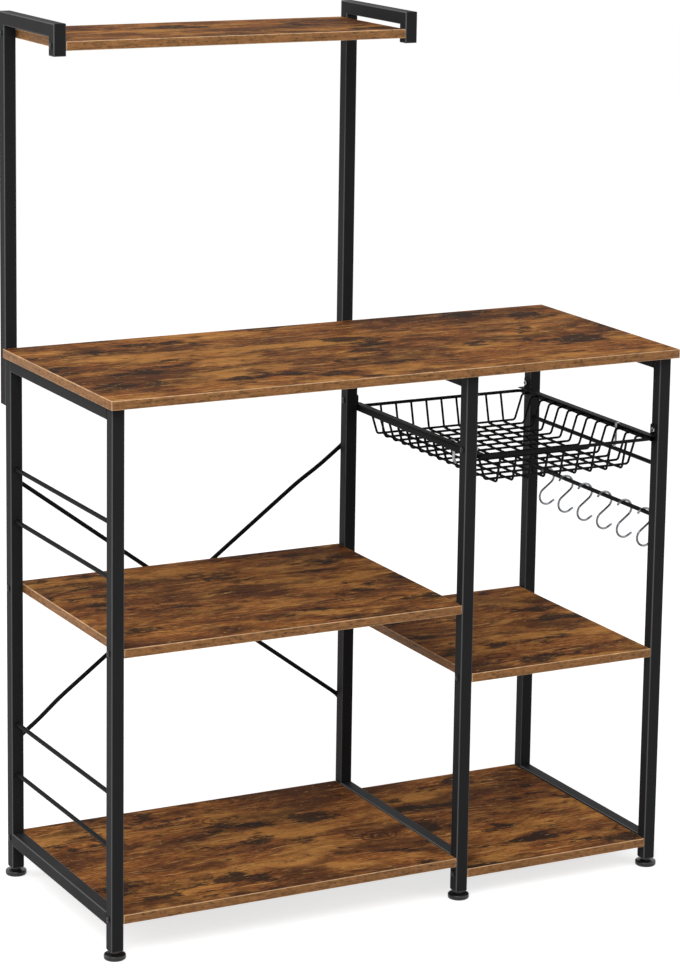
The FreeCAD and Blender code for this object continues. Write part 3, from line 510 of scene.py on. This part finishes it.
def laminate(colours):
    """Chipboard faced with printed melamine paper in a rustic plank decor, pressed with a fine grain."""
    material, tree, shader, point = new_material("Melamine laminate, rustic wood print")
    if tree is None:
        return material
    # The grain wanders a few millimetres to each side over a hand's breadth.
    wander_map = add_node(tree, "ShaderNodeMapping", inputs={"Vector": point, "Scale": scaled(190, 80, 80)})
    wander = add_node(tree, "ShaderNodeTexNoise", inputs={
        "Vector": wander_map.outputs["Vector"], "Scale": 1.0, "Detail": 3.0, "Roughness": 0.55})
    sideways = add_node(tree, "ShaderNodeMapRange", inputs={
        "Value": wander.outputs["Fac"], "To Min": -0.025, "To Max": 0.025})
    shift = add_node(tree, "ShaderNodeCombineXYZ", inputs={"Y": sideways.outputs["Result"]})
    moved = add_node(tree, "ShaderNodeVectorMath", {"operation": "ADD"}, {
        0: point, 1: shift.outputs["Vector"]})
    grain_point = moved.outputs["Vector"]
    # Ground tone: fields with streaks, grain lines and pores, each as long and as wide in millimetres
    # as here, mixed in by the last number.
    tone = None
    for size, detail, rough, share in (
        ((240, 65, 65), 8.0, 0.62, 0.0),
        ((85, 14, 14), 6.0, 0.7, 0.36),
        ((32, 4, 4), 4.0, 0.66, 0.32),
        ((9, 1.4, 1.4), 2.0, 0.5, 0.2),
    ):
        mapping = add_node(tree, "ShaderNodeMapping", inputs={"Vector": grain_point, "Scale": scaled(*size)})
        noise = add_node(tree, "ShaderNodeTexNoise", inputs={
            "Vector": mapping.outputs["Vector"], "Scale": 1.0, "Detail": detail, "Roughness": rough})
        if tone is None:
            tone = noise.outputs["Fac"]
            continue
        blend = add_node(tree, "ShaderNodeMix", {"data_type": "FLOAT"}, {
            0: share, 2: tone, 3: noise.outputs["Fac"]})
        tone = blend.outputs[0]
    ground = add_node(tree, "ShaderNodeValToRGB", inputs={"Fac": tone}, stops=(
        (0.405, colours.wood_dark), (0.605, colours.wood_light), (0.47, colours.wood_brown),
        (0.535, linear("#955b2e"))))
    surface = ground.outputs["Color"]
    for what, colour, size, place, start, full, share in PRINT_LAYERS:
        mapping = add_node(tree, "ShaderNodeMapping", {"label": what}, {
            "Vector": grain_point, "Scale": scaled(*size), "Location": place})
        noise = add_node(tree, "ShaderNodeTexNoise", inputs={
            "Vector": mapping.outputs["Vector"], "Scale": 1.0, "Detail": 8.0, "Roughness": 0.66})
        shown = add_node(tree, "ShaderNodeMapRange", {"interpolation_type": "SMOOTHSTEP"}, {
            "Value": noise.outputs["Fac"], "From Min": start, "From Max": full, "To Max": share})
        painted = add_node(tree, "ShaderNodeMixRGB", inputs={
            "Fac": shown.outputs["Result"], "Color1": surface, "Color2": linear(colour)})
        surface = painted.outputs["Color"]
    # Drying cracks: hair lines where a noise passes through its middle.
    crack_map = add_node(tree, "ShaderNodeMapping", inputs={
        "Vector": grain_point, "Scale": scaled(150, 15, 15), "Location": (3.1, 8.7, 1.2)})
    crack = add_node(tree, "ShaderNodeTexNoise", inputs={
        "Vector": crack_map.outputs["Vector"], "Scale": 1.0, "Detail": 5.0, "Roughness": 0.62})
    clear, full = (0.0, 0.0, 0.0, 1.0), (0.75, 0.75, 0.75, 1.0)
    line = add_node(tree, "ShaderNodeValToRGB", inputs={"Fac": crack.outputs["Fac"]}, stops=(
        (0.405, clear), (0.432, clear), (0.418, full)))
    cracked = add_node(tree, "ShaderNodeMixRGB", inputs={
        "Fac": line.outputs["Color"], "Color1": surface, "Color2": linear("#1c120d")})
    # Knots: every few hundred millimetres one dark eye with two rings round it.
    knot_map = add_node(tree, "ShaderNodeMapping", inputs={
        "Vector": grain_point, "Scale": scaled(230, 120, 120), "Location": (0.35, 0.6, 0.2)})
    knot = add_node(tree, "ShaderNodeTexVoronoi", {"voronoi_dimensions": "3D"}, {
        "Vector": knot_map.outputs["Vector"], "Scale": 1.0, "Randomness": 0.9})
    rings = add_node(tree, "ShaderNodeValToRGB", inputs={"Fac": knot.outputs["Distance"]}, stops=(
        (0.03, (1.0, 1.0, 1.0, 1.0)), (0.15, clear), (0.055, clear), (0.075, full), (0.09, clear),
        (0.115, clear), (0.13, full)))
    eyed = add_node(tree, "ShaderNodeMixRGB", inputs={
        "Fac": rings.outputs["Color"], "Color1": cracked.outputs["Color"], "Color2": linear("#24170f")})
    # The pressed grain is a few hundredths deep, so the sheen breaks along the boards.
    pore_map = add_node(tree, "ShaderNodeMapping", inputs={
        "Vector": grain_point, "Scale": scaled(16, 1.1, 1.1)})
    pores = add_node(tree, "ShaderNodeTexNoise", inputs={
        "Vector": pore_map.outputs["Vector"], "Scale": 1.0, "Detail": 3.0, "Roughness": 0.55})
    sheen = add_node(tree, "ShaderNodeMapRange", inputs={
        "Value": pores.outputs["Fac"], "From Min": 0.3, "From Max": 0.7, "To Min": 0.76, "To Max": 0.64})
    relief = add_node(tree, "ShaderNodeBump", inputs={
        "Height": pores.outputs["Fac"], "Strength": 0.4, "Distance": 0.06 * MM})
    tree.links.new(eyed.outputs["Color"], shader.inputs["Base Color"])
    tree.links.new(sheen.outputs["Result"], shader.inputs["Roughness"])
    tree.links.new(relief.outputs["Normal"], shader.inputs["Normal"])
    shader.inputs["Specular IOR Level"].default_value = 0.03
    return material


def edge_band(colours, cut):
    """Plastic edge band with the same print in a lighter tone; its cut edge shows the bare strip."""
    name = "Edge band, cut edge" if cut else "Edge band, printed plastic"
    material, tree, shader, point = new_material(name)
    if tree is None:
        return material
    # The print runs along the strip: streaks 40 mm long and 3 mm high over mottling of 9 mm, with
    # dark flecks a few millimetres long.
    ground = colours.band_cut if cut else colours.band
    noises = []
    for size, place, detail in (
        ((40, 40, 3), (0, 0, 0), 5.0),
        ((9, 9, 5), (0, 0, 0), 4.0),
        ((7, 7, 2), (4.2, 1.3, 7.7), 3.0),
    ):
        mapping = add_node(tree, "ShaderNodeMapping", inputs={
            "Vector": point, "Scale": scaled(*size), "Location": place})
        noise = add_node(tree, "ShaderNodeTexNoise", inputs={
            "Vector": mapping.outputs["Vector"], "Scale": 1.0, "Detail": detail, "Roughness": 0.62})
        noises.append(noise.outputs["Fac"])
    streak, mottle, fleck = noises
    mixed = add_node(tree, "ShaderNodeMix", {"data_type": "FLOAT"}, {0: 0.45, 2: streak, 3: mottle})
    dark = shade(ground, 0.72 if cut else 0.42)
    tones = add_node(tree, "ShaderNodeValToRGB", inputs={"Fac": mixed.outputs[0]}, stops=(
        (0.36, dark), (0.64, shade(ground, 1.45)), (0.48, ground)))
    shown = add_node(tree, "ShaderNodeMapRange", {"interpolation_type": "SMOOTHSTEP"}, {
        "Value": fleck, "From Min": 0.57, "From Max": 0.66, "To Max": 0.25 if cut else 0.7})
    printed = add_node(tree, "ShaderNodeMixRGB", inputs={
        "Fac": shown.outputs["Result"], "Color1": tones.outputs["Color"], "Color2": linear("#3a2516")})
    relief = add_node(tree, "ShaderNodeBump", inputs={
        "Height": mottle, "Strength": 0.3, "Distance": 0.05 * MM})
    tree.links.new(printed.outputs["Color"], shader.inputs["Base Color"])
    tree.links.new(relief.outputs["Normal"], shader.inputs["Normal"])
    shader.inputs["Roughness"].default_value = 0.55
    shader.inputs["Specular IOR Level"].default_value = 0.2
    return material


def speckled(name, cell, detail, spread, gloss, tones, metallic=0.0, relief=None):
    """A finish that changes its tone and gloss with one noise, whose cells are this many millimetres."""
    material, tree, shader, point = new_material(name)
    if tree is None:
        return material
    grain = add_node(tree, "ShaderNodeTexNoise", inputs={
        "Vector": point, "Scale": 1000 / cell, "Detail": detail, "Roughness": 0.6}).outputs["Fac"]
    sheen = add_node(tree, "ShaderNodeMapRange", inputs={
        "Value": grain, "From Min": spread[0], "From Max": spread[1], "To Min": gloss[0], "To Max": gloss[1]})
    tone = add_node(tree, "ShaderNodeMixRGB", inputs={"Fac": grain, "Color1": tones[0], "Color2": tones[1]})
    tree.links.new(tone.outputs["Color"], shader.inputs["Base Color"])
    tree.links.new(sheen.outputs["Result"], shader.inputs["Roughness"])
    shader.inputs["Metallic"].default_value = metallic
    if relief:
        bump = add_node(tree, "ShaderNodeBump", inputs={
            "Height": grain, "Strength": relief[0], "Distance": relief[1] * MM})
        tree.links.new(bump.outputs["Normal"], shader.inputs["Normal"])
    return material


def moulded_plastic(colours):
    """Injection-moulded black polypropylene: soft gloss over a fine spark-eroded grain."""
    # The mould's texture has pits of about 0.6 mm, drawn slightly coarser than they are to show.
    tones = (colours.plastic, shade(colours.plastic, 1.5))
    return speckled(
        "Polypropylene, moulded black", 0.6, 3.0, (0.3, 0.7), (0.28, 0.4), tones, relief=(0.2, 0.03))


def chrome_plate(colours):
    """Bright chromium plate on drawn wire: a mirror with faint water marks 6 mm wide."""
    tones = (colours.chrome, shade(colours.chrome, 0.85))
    return speckled(
        "Chrome plate on drawn wire", 6, 4.0, (0.35, 0.7), (0.07, 0.16), tones, metallic=1.0)


def zinc_plate(colours):
    """Bright zinc plate on small hardware: grey and satin, with a faint cloudy passivation."""
    tones = (colours.zinc, shade(colours.zinc, 0.7))
    return speckled("Zinc plate, bright", 2.5, 4.0, (0.3, 0.7), (0.22, 0.4), tones, metallic=1.0)


def black_oxide():
    """Screws and bolts with a black oxide finish: dark, slightly oily metal."""
    tones = (linear("#1d1d1e"), linear("#2c2b2b"))
    return speckled("Steel, black oxide", 0.8, 3.0, (0.3, 0.7), (0.3, 0.45), tones, metallic=0.6)


def repaint(nodes, finish):
    """Gives CAD nodes a better material in every slot they have."""
    for name in nodes:
        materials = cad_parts[name].data.materials
        for number in range(len(materials)):
            materials[number] = finish


class RACK_OT_boards(bpy.types.Operator):
    """Model the six laminated boards, each with a band round its edges"""

    bl_idname = "rack.boards"
    bl_label = "Boards"

    def execute(self, context):
        colours, sizes = context.scene.rack_colours, context.scene.rack_sizes
        finishes = [laminate(colours), edge_band(colours, False), edge_band(colours, True)]
        for name in BOARDS:
            low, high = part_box(name)
            board = block(low, high)
            edit_mesh()
            pick(board, "FACE", lambda face: abs(face.normal.z) > SQUARE)
            bpy.ops.mesh.inset(thickness=sizes.band, use_individual=True)

            def on_corner(point):
                return all(
                    min(abs(point.co[axis] - end[axis]) for end in (low, high)) < TOUCH for axis in range(3))

            pick(board, "EDGE", lambda edge: all(on_corner(point) for point in edge.verts))
            bpy.ops.mesh.bevel(offset=sizes.board_edge, segments=3, affect="EDGES")
            leave_mesh()
            rim = sizes.band * 1.01
            done(board, "board_" + name, "rack", finishes, [name])
            for face in board.data.polygons:
                flat = abs(face.normal.z) > SQUARE
                side = max(abs(face.normal.x), abs(face.normal.y)) > SQUARE
                at = face.center
                ring = min(at.x - low.x, high.x - at.x, at.y - low.y, high.y - at.y) < rim
                face.material_index = 1 if side else (0 if flat and not ring else 2)
        return {"FINISHED"}


class RACK_OT_steel(bpy.types.Operator):
    """Powder-coat the welded frames and lay the weld beads where tubes and bars meet"""

    bl_idname = "rack.steel"
    bl_label = "Frames and welds"

    def execute(self, context):
        colours, sizes = context.scene.rack_colours, context.scene.rack_sizes
        coat = powder_coat(colours)
        repaint(TUBE_NODES, powder_coat(colours, tube=True))
        repaint(BAR_NODES, coat)
        radius = sizes.bead
        low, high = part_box("left_bottom_rail")
        tube = high.z - low.z
        # A bead across the tube: the ripples are the weld puddle's steps, and both ends run out thin.
        ripple, run_out, thin = 1.6 * MM, 1.2 * MM, radius * 0.35
        steps = round(tube / ripple)
        profile = [(-tube / 2 + run_out, thin)]
        for step in range(1, steps):
            profile.append((-tube / 2 + tube * step / steps, radius * (1.0 if step % 2 else 0.86)))
        profile.append((tube / 2 - run_out, thin))
        bead = turned(profile, 12)
        beads = []
        for side in FRAMES:
            for level in ("top", "bottom"):
                low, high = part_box(f"{side}_{level}_rail")
                middle = (low + high) / 2
                for y in (low.y, high.y):
                    for z in ((low.z,) if level == "top" else (low.z, high.z)):
                        beads.append(copied(bead, Matrix.Translation((middle.x, y, z))))
        drop(bead)
        # A ring of weld round each end of the round bars, with a dent at every second of its segments.
        ring, segments = 3.4 * MM, 28
        bpy.ops.mesh.primitive_torus_add(
            major_segments=segments, minor_segments=10, major_radius=ring, minor_radius=radius * 0.75,
            rotation=(math.pi / 2, 0, 0))
        collar = bpy.context.object
        bpy.ops.object.transform_apply()
        edit_mesh()
        pick(collar, "VERT", lambda point: round(
            math.atan2(point.co.z, point.co.x) * segments / 2 / math.pi) % 2 == 0)
        resized((0.97, 0.9, 0.97))
        leave_mesh()
        for name in BAR_NODES:
            for points in solids(name):
                low, high = corners(points)
                middle = (low + high) / 2
                for y in (low.y, high.y):
                    beads.append(copied(collar, Matrix.Translation((middle.x, y, middle.z))))
        drop(collar)
        done(joined(beads), "weld_beads", "rack", [coat], smooth=60)
        return {"FINISHED"}


class RACK_OT_runners(bpy.types.Operator):
    """Fold the two sheet runners that carry the basket, each with a tab at both ends"""

    bl_idname = "rack.runners"
    bl_label = "Basket runners"

    def execute(self, context):
        coat, sizes = powder_coat(context.scene.rack_colours), context.scene.rack_sizes
        for side, way in (("left", 1), ("right", -1)):
            low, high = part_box("runner_" + side)
            face, inner = (low.x, high.x) if way > 0 else (high.x, low.x)
            half = sizes.sheet / 2
            base, top = low.z, low.z + sizes.runner
            bpy.ops.mesh.primitive_plane_add(size=1)
            runner = context.object
            edit_mesh()
            flange = abs(inner - face) - half
            resized((flange, high.y - low.y, 1))
            bpy.ops.transform.translate(value=(
                face + way * (half + flange / 2), (low.y + high.y) / 2, top - half))
            fold = face + way * half

            def at_fold(edge):
                return all(abs(point.co.x - fold) < half / 2 for point in edge.verts)

            pick(runner, "EDGE", at_fold)
            extruded((0, 0, sizes.sheet - sizes.runner))
            extruded((way * (sizes.lip - half), 0, 0))
            turn_outwards()
            leave_mesh()
            apply_modifier(runner, "SOLIDIFY", thickness=sizes.sheet, offset=0, use_even_offset=True)
            edit_mesh()
            # The folds, as their place within the sheet and their bend in millimetres.
            for reach, bend in ((0.0, 1.6), (sizes.sheet, 0.5)):
                line = face + way * reach
                heights = (base + reach, top - reach)

                def along_fold(edge):
                    return all(
                        abs(point.co.x - line) < 10 * TOUCH
                        and min(abs(point.co.z - height) for height in heights) < 10 * TOUCH
                        for point in edge.verts
                    ) and abs(edge.verts[0].co.y - edge.verts[1].co.y) > sizes.runner

                pick(runner, "EDGE", along_fold)
                bpy.ops.mesh.bevel(offset=bend * MM, segments=4, affect="EDGES")
            leave_mesh()
            parts = [runner]
            for start in (low.y, high.y - sizes.tab_width):
                near, far = sorted((face, face + way * sizes.tab))
                tab = block((near, start, top - sizes.tab), (far, start + sizes.tab_width, high.z))
                edit_mesh()
                pick(tab, "EDGE", lambda edge: all(
                    abs(point.co.z - high.z) < TOUCH for point in edge.verts)
                    and abs(edge.verts[0].co.x - edge.verts[1].co.x) > sizes.tab / 2)
                bpy.ops.mesh.bevel(offset=sizes.tab_corner, segments=5, affect="EDGES")
                leave_mesh()
                parts.append(tab)
            name = "runner_" + side
            done(joined(parts), "folded_" + name, "rack", [coat], [name])
        return {"FINISHED"}


class RACK_OT_brace(bpy.types.Operator):
    """Form the crossed bars behind the left bay, with their ends pressed flat"""

    bl_idname = "rack.brace"
    bl_label = "Back brace"

    def execute(self, context):
        coat, sizes = powder_coat(context.scene.rack_colours), context.scene.rack_sizes
        eye, flat, bar = sizes.brace_eye, sizes.brace_flat, sizes.brace_rod
        for name, falls in (("back_brace_front", True), ("back_brace_rear", False)):
            low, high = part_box(name)
            left, right, under, above = low.x + eye, high.x - eye, low.z + eye, high.z - eye
            span = math.hypot(right - left, above - under)
            tilt = math.atan2(above - under, right - left)
            # The round end, the press mark and the bar, as (along, off the posts, half depth, half height).
            end = []
            for degrees in (14, 32, 50, 70, 90):
                turn = math.radians(degrees)
                end.append((-eye * math.cos(turn), flat, flat, eye * math.sin(turn)))
            off = bar + BRACE_PLAY
            end += [
                (2.5 * MM, flat, flat, eye * 0.97),
                (5.5 * MM, flat * 1.25, flat * 1.25, eye * 0.86),
                (9.0 * MM, (flat + off) / 2, bar * 0.74, bar * 1.3),
                (13.0 * MM, off * 0.95, bar * 0.93, bar * 1.08),
                (17.0 * MM, off, bar, bar),
            ]
            bow = high.y - low.y - 2 * bar - BRACE_PLAY
            if not falls:
                end += [(along * MM, off + bow * share, bar, bar) for along, share in BRACE_BOW]
            stations = end + [(span - x, y, depth, height) for x, y, depth, height in reversed(end)]
            piece = pulled(stations, 24)
            start = Vector((left, low.y, above if falls else under))
            put(piece, Matrix.Translation(start) @ Matrix.Rotation(tilt if falls else -tilt, 4, "Y"))
            done(piece, name.replace("back_", ""), "rack", [coat], [name])
        return {"FINISHED"}


class RACK_OT_basket(bpy.types.Operator):
    """Powder-coat the wire basket and add its spot welds"""

    bl_idname = "rack.basket"
    bl_label = "Wire basket"

    def execute(self, context):
        colours, sizes = context.scene.rack_colours, context.scene.rack_sizes
        coat = powder_coat(colours)
        repaint(BASKET_NODES, coat)
        repaint(("basket_keepers",), zinc_plate(colours))
        long_wires = [corners(points) for points in solids("basket_long_wires")]
        cross_wires = [corners(points) for points in solids("basket_cross_wires")]
        rim_low, rim_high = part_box("basket_rim")
        level = (rim_low.z + rim_high.z) / 2
        # The wires' ends meet the rim just inside its own wire.
        inside = (rim_high.z - rim_low.z) * 0.95
        # Electric welding leaves a small flat lens of metal wherever two wires cross.
        bpy.ops.mesh.primitive_uv_sphere_add(segments=8, ring_count=6, radius=sizes.spot)
        lens = context.object
        edit_mesh()
        resized((1, 1, 0.75))
        leave_mesh()
        places = []
        for low, high in long_wires:
            x = (low.x + high.x) / 2
            places += [(x, (near.y + far.y) / 2, near.z) for near, far in cross_wires]
            places += [(x, y, level) for y in (rim_low.y + inside, rim_high.y - inside)]
        for low, high in cross_wires:
            y = (low.y + high.y) / 2
            places += [(x, y, level) for x in (rim_low.x + inside, rim_high.x - inside)]
        lenses = [copied(lens, Matrix.Translation(place)) for place in places]
        drop(lens)
        done(joined(lenses), "basket_spot_welds", "basket", [coat], smooth=60)
        return {"FINISHED"}


class RACK_OT_hooks(bpy.types.Operator):
    """Bend the six S-hooks from one wire pattern and chrome-plate them"""

    bl_idname = "rack.hooks"
    bl_label = "Hooks"

    def execute(self, context):
        chrome, sizes = chrome_plate(context.scene.rack_colours), context.scene.rack_sizes
        radius, wire = sizes.hook_loop, sizes.hook_wire
        low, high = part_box("hook_1")
        rail_low, rail_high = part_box("hook_rail")
        # Both loops' middles, from the rail's middle, as (x, z).
        rail = ((rail_low.x + rail_high.x) / 2, (rail_low.z + rail_high.z) / 2)
        upper = (sizes.upper_slide, high.z - rail[1] - radius - wire)
        lower = (sizes.lower_slide, low.z - rail[1] + radius + wire)
        gap = Vector((lower[0] - upper[0], lower[1] - upper[1]))
        heading = math.atan2(gap.y, gap.x)
        leave = heading + math.acos(2 * radius / gap.length)
        # Where round its loop the wire starts above, and where its loop ends below.
        tail, tip = math.radians(150), math.radians(-60)
        shank = math.sqrt(gap.length ** 2 - (2 * radius) ** 2)
        bpy.ops.mesh.primitive_circle_add(
            vertices=18, radius=wire, fill_type="NGON", rotation=(0, math.pi - tail, 0),
            location=(upper[0] + radius * math.cos(tail), 0, upper[1] + radius * math.sin(tail)))
        hook = context.object
        bpy.ops.object.transform_apply()
        edit_mesh()
        bpy.ops.mesh.spin(
            steps=40, angle=tail - leave, center=(upper[0], 0, upper[1]), axis=(0, -1, 0))
        step_on = (math.sin(leave) * shank, 0, -math.cos(leave) * shank)
        extruded(step_on)
        bpy.ops.mesh.spin(
            steps=36, angle=tip + math.pi - leave, center=(lower[0], 0, lower[1]), axis=(0, 1, 0))
        along = Vector((-math.sin(tip), 0, math.cos(tip)))
        extruded(along * sizes.hook_tip)
        # Both ends are tumbled round: three short steps, each narrower.
        shape = bmesh.from_edit_mesh(hook.data)
        shape.faces.ensure_lookup_table()
        ends = [face.calc_center_median().copy() for face in shape.faces if len(face.verts) > 4]
        for end in ends:
            pick(hook, "FACE", lambda face: len(face.verts) > 4
                 and (face.calc_center_median() - end).length < wire)
            spot = end.copy()
            face = next(face for face in bmesh.from_edit_mesh(hook.data).faces if face.select)
            out = face.normal.copy()
            for reach, share in ((0.35, 0.9), (0.25, 0.75), (0.12, 0.5)):
                push = out * wire * reach
                spot = spot + push
                extruded(push)
                resized((share, share, share), spot)
        turn_outwards()
        leave_mesh()
        for number in range(1, 7):
            name = f"hook_{number}"
            low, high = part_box(name)
            place = Matrix.Translation((rail[0], (low.y + high.y) / 2, rail[1]))
            done(copied(hook, place), "s_" + name, name + "_unit", [chrome], [name], smooth=60)
        drop(hook)
        return {"FINISHED"}


class RACK_OT_feet(bpy.types.Operator):
    """Turn the levelling feet and mould the plugs in the tube ends"""

    bl_idname = "rack.feet"
    bl_label = "Feet and plugs"

    def execute(self, context):
        plastic = moulded_plastic(context.scene.rack_colours)
        low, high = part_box("foot_left_front")
        radius = (high.x - low.x) / 2
        profile = [(height * MM, share * radius) for height, share in FOOT_DISC]
        stud = list(FOOT_NECK)
        for turn in range(FOOT_RINGS):
            stud += [(height + turn, wide) for height, wide in (FOOT_CREST, FOOT_ROOT)]
        stud.append(FOOT_TIP)
        profile += [(height * MM, wide * MM) for height, wide in stud]
        pattern = turned(profile, 40)
        for side in FRAMES:
            for depth in DEPTHS:
                name = f"foot_{side}_{depth}"
                low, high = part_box(name)
                place = pointing(((low.x + high.x) / 2, (low.y + high.y) / 2, low.z), (0, 0, 1))
                done(copied(pattern, place), "glide_" + name, name + "_unit", [plastic],
                     [name], smooth=50)
        drop(pattern)
        for name in ("foot_inserts", "hutch_end_caps"):
            plugs = softened(name, 0.45 * MM)
            done(plugs, "moulded_" + name, "rack", [plastic], [name])
        return {"FINISHED"}


class RACK_OT_screws(bpy.types.Operator):
    """Form the pan head screws and bolts with their cross recesses, and chamfer the nuts"""

    bl_idname = "rack.screws"
    bl_label = "Screws and nuts"

    def execute(self, context):
        dark, bright = black_oxide(), zinc_plate(context.scene.rack_colours)
        for name, shank in SCREWS:
            screws = []
            pattern = None
            for points in solids(name):
                low, high = corners(points)
                size = high - low
                axis = max(range(3), key=lambda item: size[item])
                sides = [item for item in range(3) if item != axis]
                middle = (low + high) / 2
                head = min(size[item] for item in sides) / 2
                # The head's end of the screw has points far from its middle line.
                wide = [point for point in points
                        if math.hypot(*[point[item] - middle[item] for item in sides]) > head * 0.9]
                at_low = sum(point[axis] for point in wide) / len(wide) < middle[axis]
                if pattern is None:
                    pattern = pan_head_screw(size[axis], head, shank * MM)
                along = Vector((0, 0, 0))
                along[axis] = 1 if at_low else -1
                start = middle.copy()
                start[axis] = low[axis] if at_low else high[axis]
                # Each recess stands as its own screw came tight.
                spin = 0.35 + 0.8 * len(screws)
                screws.append(copied(pattern, pointing(start, along, spin)))
            drop(pattern)
            done(joined(screws), "formed_" + name, "rack", [dark], [name])
        for name in ("hutch_nuts", "runner_nuts"):
            nuts = softened(name, 0.35 * MM)
            done(nuts, "formed_" + name, "rack", [bright], [name])
        return {"FINISHED"}


def seen_straight(tree):
    """One where the camera, a reflection or glass shows the background, and nought for its plain light."""
    rays = add_node(tree, "ShaderNodeLightPath").outputs
    seen = rays["Is Camera Ray"]
    for kind in ("Is Glossy Ray", "Is Transmission Ray"):
        either = add_node(tree, "ShaderNodeMath", {"operation": "MAXIMUM"}, {0: seen, 1: rays[kind]})
        seen = either.outputs["Value"]
    return seen


class RACK_OT_stage(bpy.types.Operator):
    """Set up the studio: floor, world, lamps and camera"""

    bl_idname = "rack.stage"
    bl_label = "Studio"

    def execute(self, context):
        scene = context.scene
        bpy.ops.mesh.primitive_circle_add(vertices=96, radius=60, fill_type="NGON")
        floor = context.object
        floor.name = "studio_floor"
        paper = bpy.data.materials.new("Studio paper, matt white")
        paper.use_nodes = True
        tree = paper.node_tree
        tree.nodes.clear()
        # What the camera sees of the paper is lifted to white, and keeps a part of the shadow.
        lift = add_node(tree, "ShaderNodeMath", {"operation": "MULTIPLY"}, {
            0: seen_straight(tree), 1: 0.72})
        glow = add_node(tree, "ShaderNodeEmission", inputs={"Strength": lift.outputs["Value"]})
        matt = add_node(tree, "ShaderNodeBsdfDiffuse", inputs={"Color": linear("#c8c8c8")})
        both = add_node(tree, "ShaderNodeAddShader", inputs={
            0: glow.outputs["Emission"], 1: matt.outputs["BSDF"]})
        add_node(tree, "ShaderNodeOutputMaterial", inputs={"Surface": both.outputs["Shader"]})
        floor.data.materials.append(paper)

        world = bpy.data.worlds.new("Studio world")
        scene.world = world
        world.use_nodes = True
        tree = world.node_tree
        tree.nodes.clear()
        level = add_node(tree, "ShaderNodeMapRange", inputs={
            "Value": seen_straight(tree), "To Min": 0.5, "To Max": 1.0})
        sky = add_node(tree, "ShaderNodeBackground", inputs={
            "Color": (1, 1, 1, 1), "Strength": level.outputs["Result"]})
        add_node(tree, "ShaderNodeOutputWorld", inputs={"Surface": sky.outputs["Background"]})

        for name, place, aim, size, power in LAMPS:
            data = bpy.data.lights.new(name, "AREA")
            data.shape = "DISK"
            data.size = size
            data.energy = power
            lamp = bpy.data.objects.new(name, data)
            lamp.visible_camera = False
            scene.collection.objects.link(lamp)
            lamp.matrix_world = looking(place, Vector(aim) - Vector(place))

        data = bpy.data.cameras.new("camera")
        data.sensor_width = 36
        data.lens = CAMERA_LENS
        data.shift_y = CAMERA_SHIFT
        data.clip_start = 0.1
        data.clip_end = 200
        camera = bpy.data.objects.new("camera", data)
        scene.collection.objects.link(camera)
        across = math.cos(CAMERA_PITCH)
        ahead = (
            math.sin(CAMERA_HEADING) * across, math.cos(CAMERA_HEADING) * across, math.sin(CAMERA_PITCH))
        camera.matrix_world = looking(CAMERA_PLACE, ahead) @ Matrix.Rotation(CAMERA_ROLL, 4, "Z")
        scene.camera = camera
        scene.view_settings.view_transform = "Standard"
        return {"FINISHED"}


PIECES = (
    RACK_OT_stage,
    RACK_OT_boards,
    RACK_OT_steel,
    RACK_OT_runners,
    RACK_OT_brace,
    RACK_OT_basket,
    RACK_OT_hooks,
    RACK_OT_feet,
    RACK_OT_screws,
)


class RACK_PT_panel(bpy.types.Panel):
    """The rack's pieces, in the order in which they are made"""

    bl_idname = "RACK_PT_panel"
    bl_label = "Kitchen Rack"
    bl_space_type = "VIEW_3D"
    bl_region_type = "UI"
    bl_category = "Rack"

    def draw(self, context):
        for piece in PIECES:
            self.layout.operator(piece.bl_idname)
        for group in (context.scene.rack_sizes, context.scene.rack_colours):
            for field in group.bl_rna.properties:
                if field.identifier not in ("rna_type", "name"):
                    self.layout.prop(group, field.identifier)


CLASSES = (RackColours, RackSizes, *PIECES, RACK_PT_panel)


def register():
    for kind in CLASSES:
        bpy.utils.register_class(kind)
    bpy.types.Scene.rack_colours = PointerProperty(type=RackColours)
    bpy.types.Scene.rack_sizes = PointerProperty(type=RackSizes)


def unregister():
    del bpy.types.Scene.rack_sizes
    del bpy.types.Scene.rack_colours
    for kind in reversed(CLASSES):
        bpy.utils.unregister_class(kind)


def main():
    """Makes every piece in order."""
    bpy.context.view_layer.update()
    register()
    bpy.ops.rack.stage()
    bpy.ops.rack.boards()
    bpy.ops.rack.steel()
    bpy.ops.rack.runners()
    bpy.ops.rack.brace()
    bpy.ops.rack.basket()
    bpy.ops.rack.hooks()
    bpy.ops.rack.feet()
    bpy.ops.rack.screws()
    bpy.context.view_layer.update()


if __name__ == "__main__":
    main()
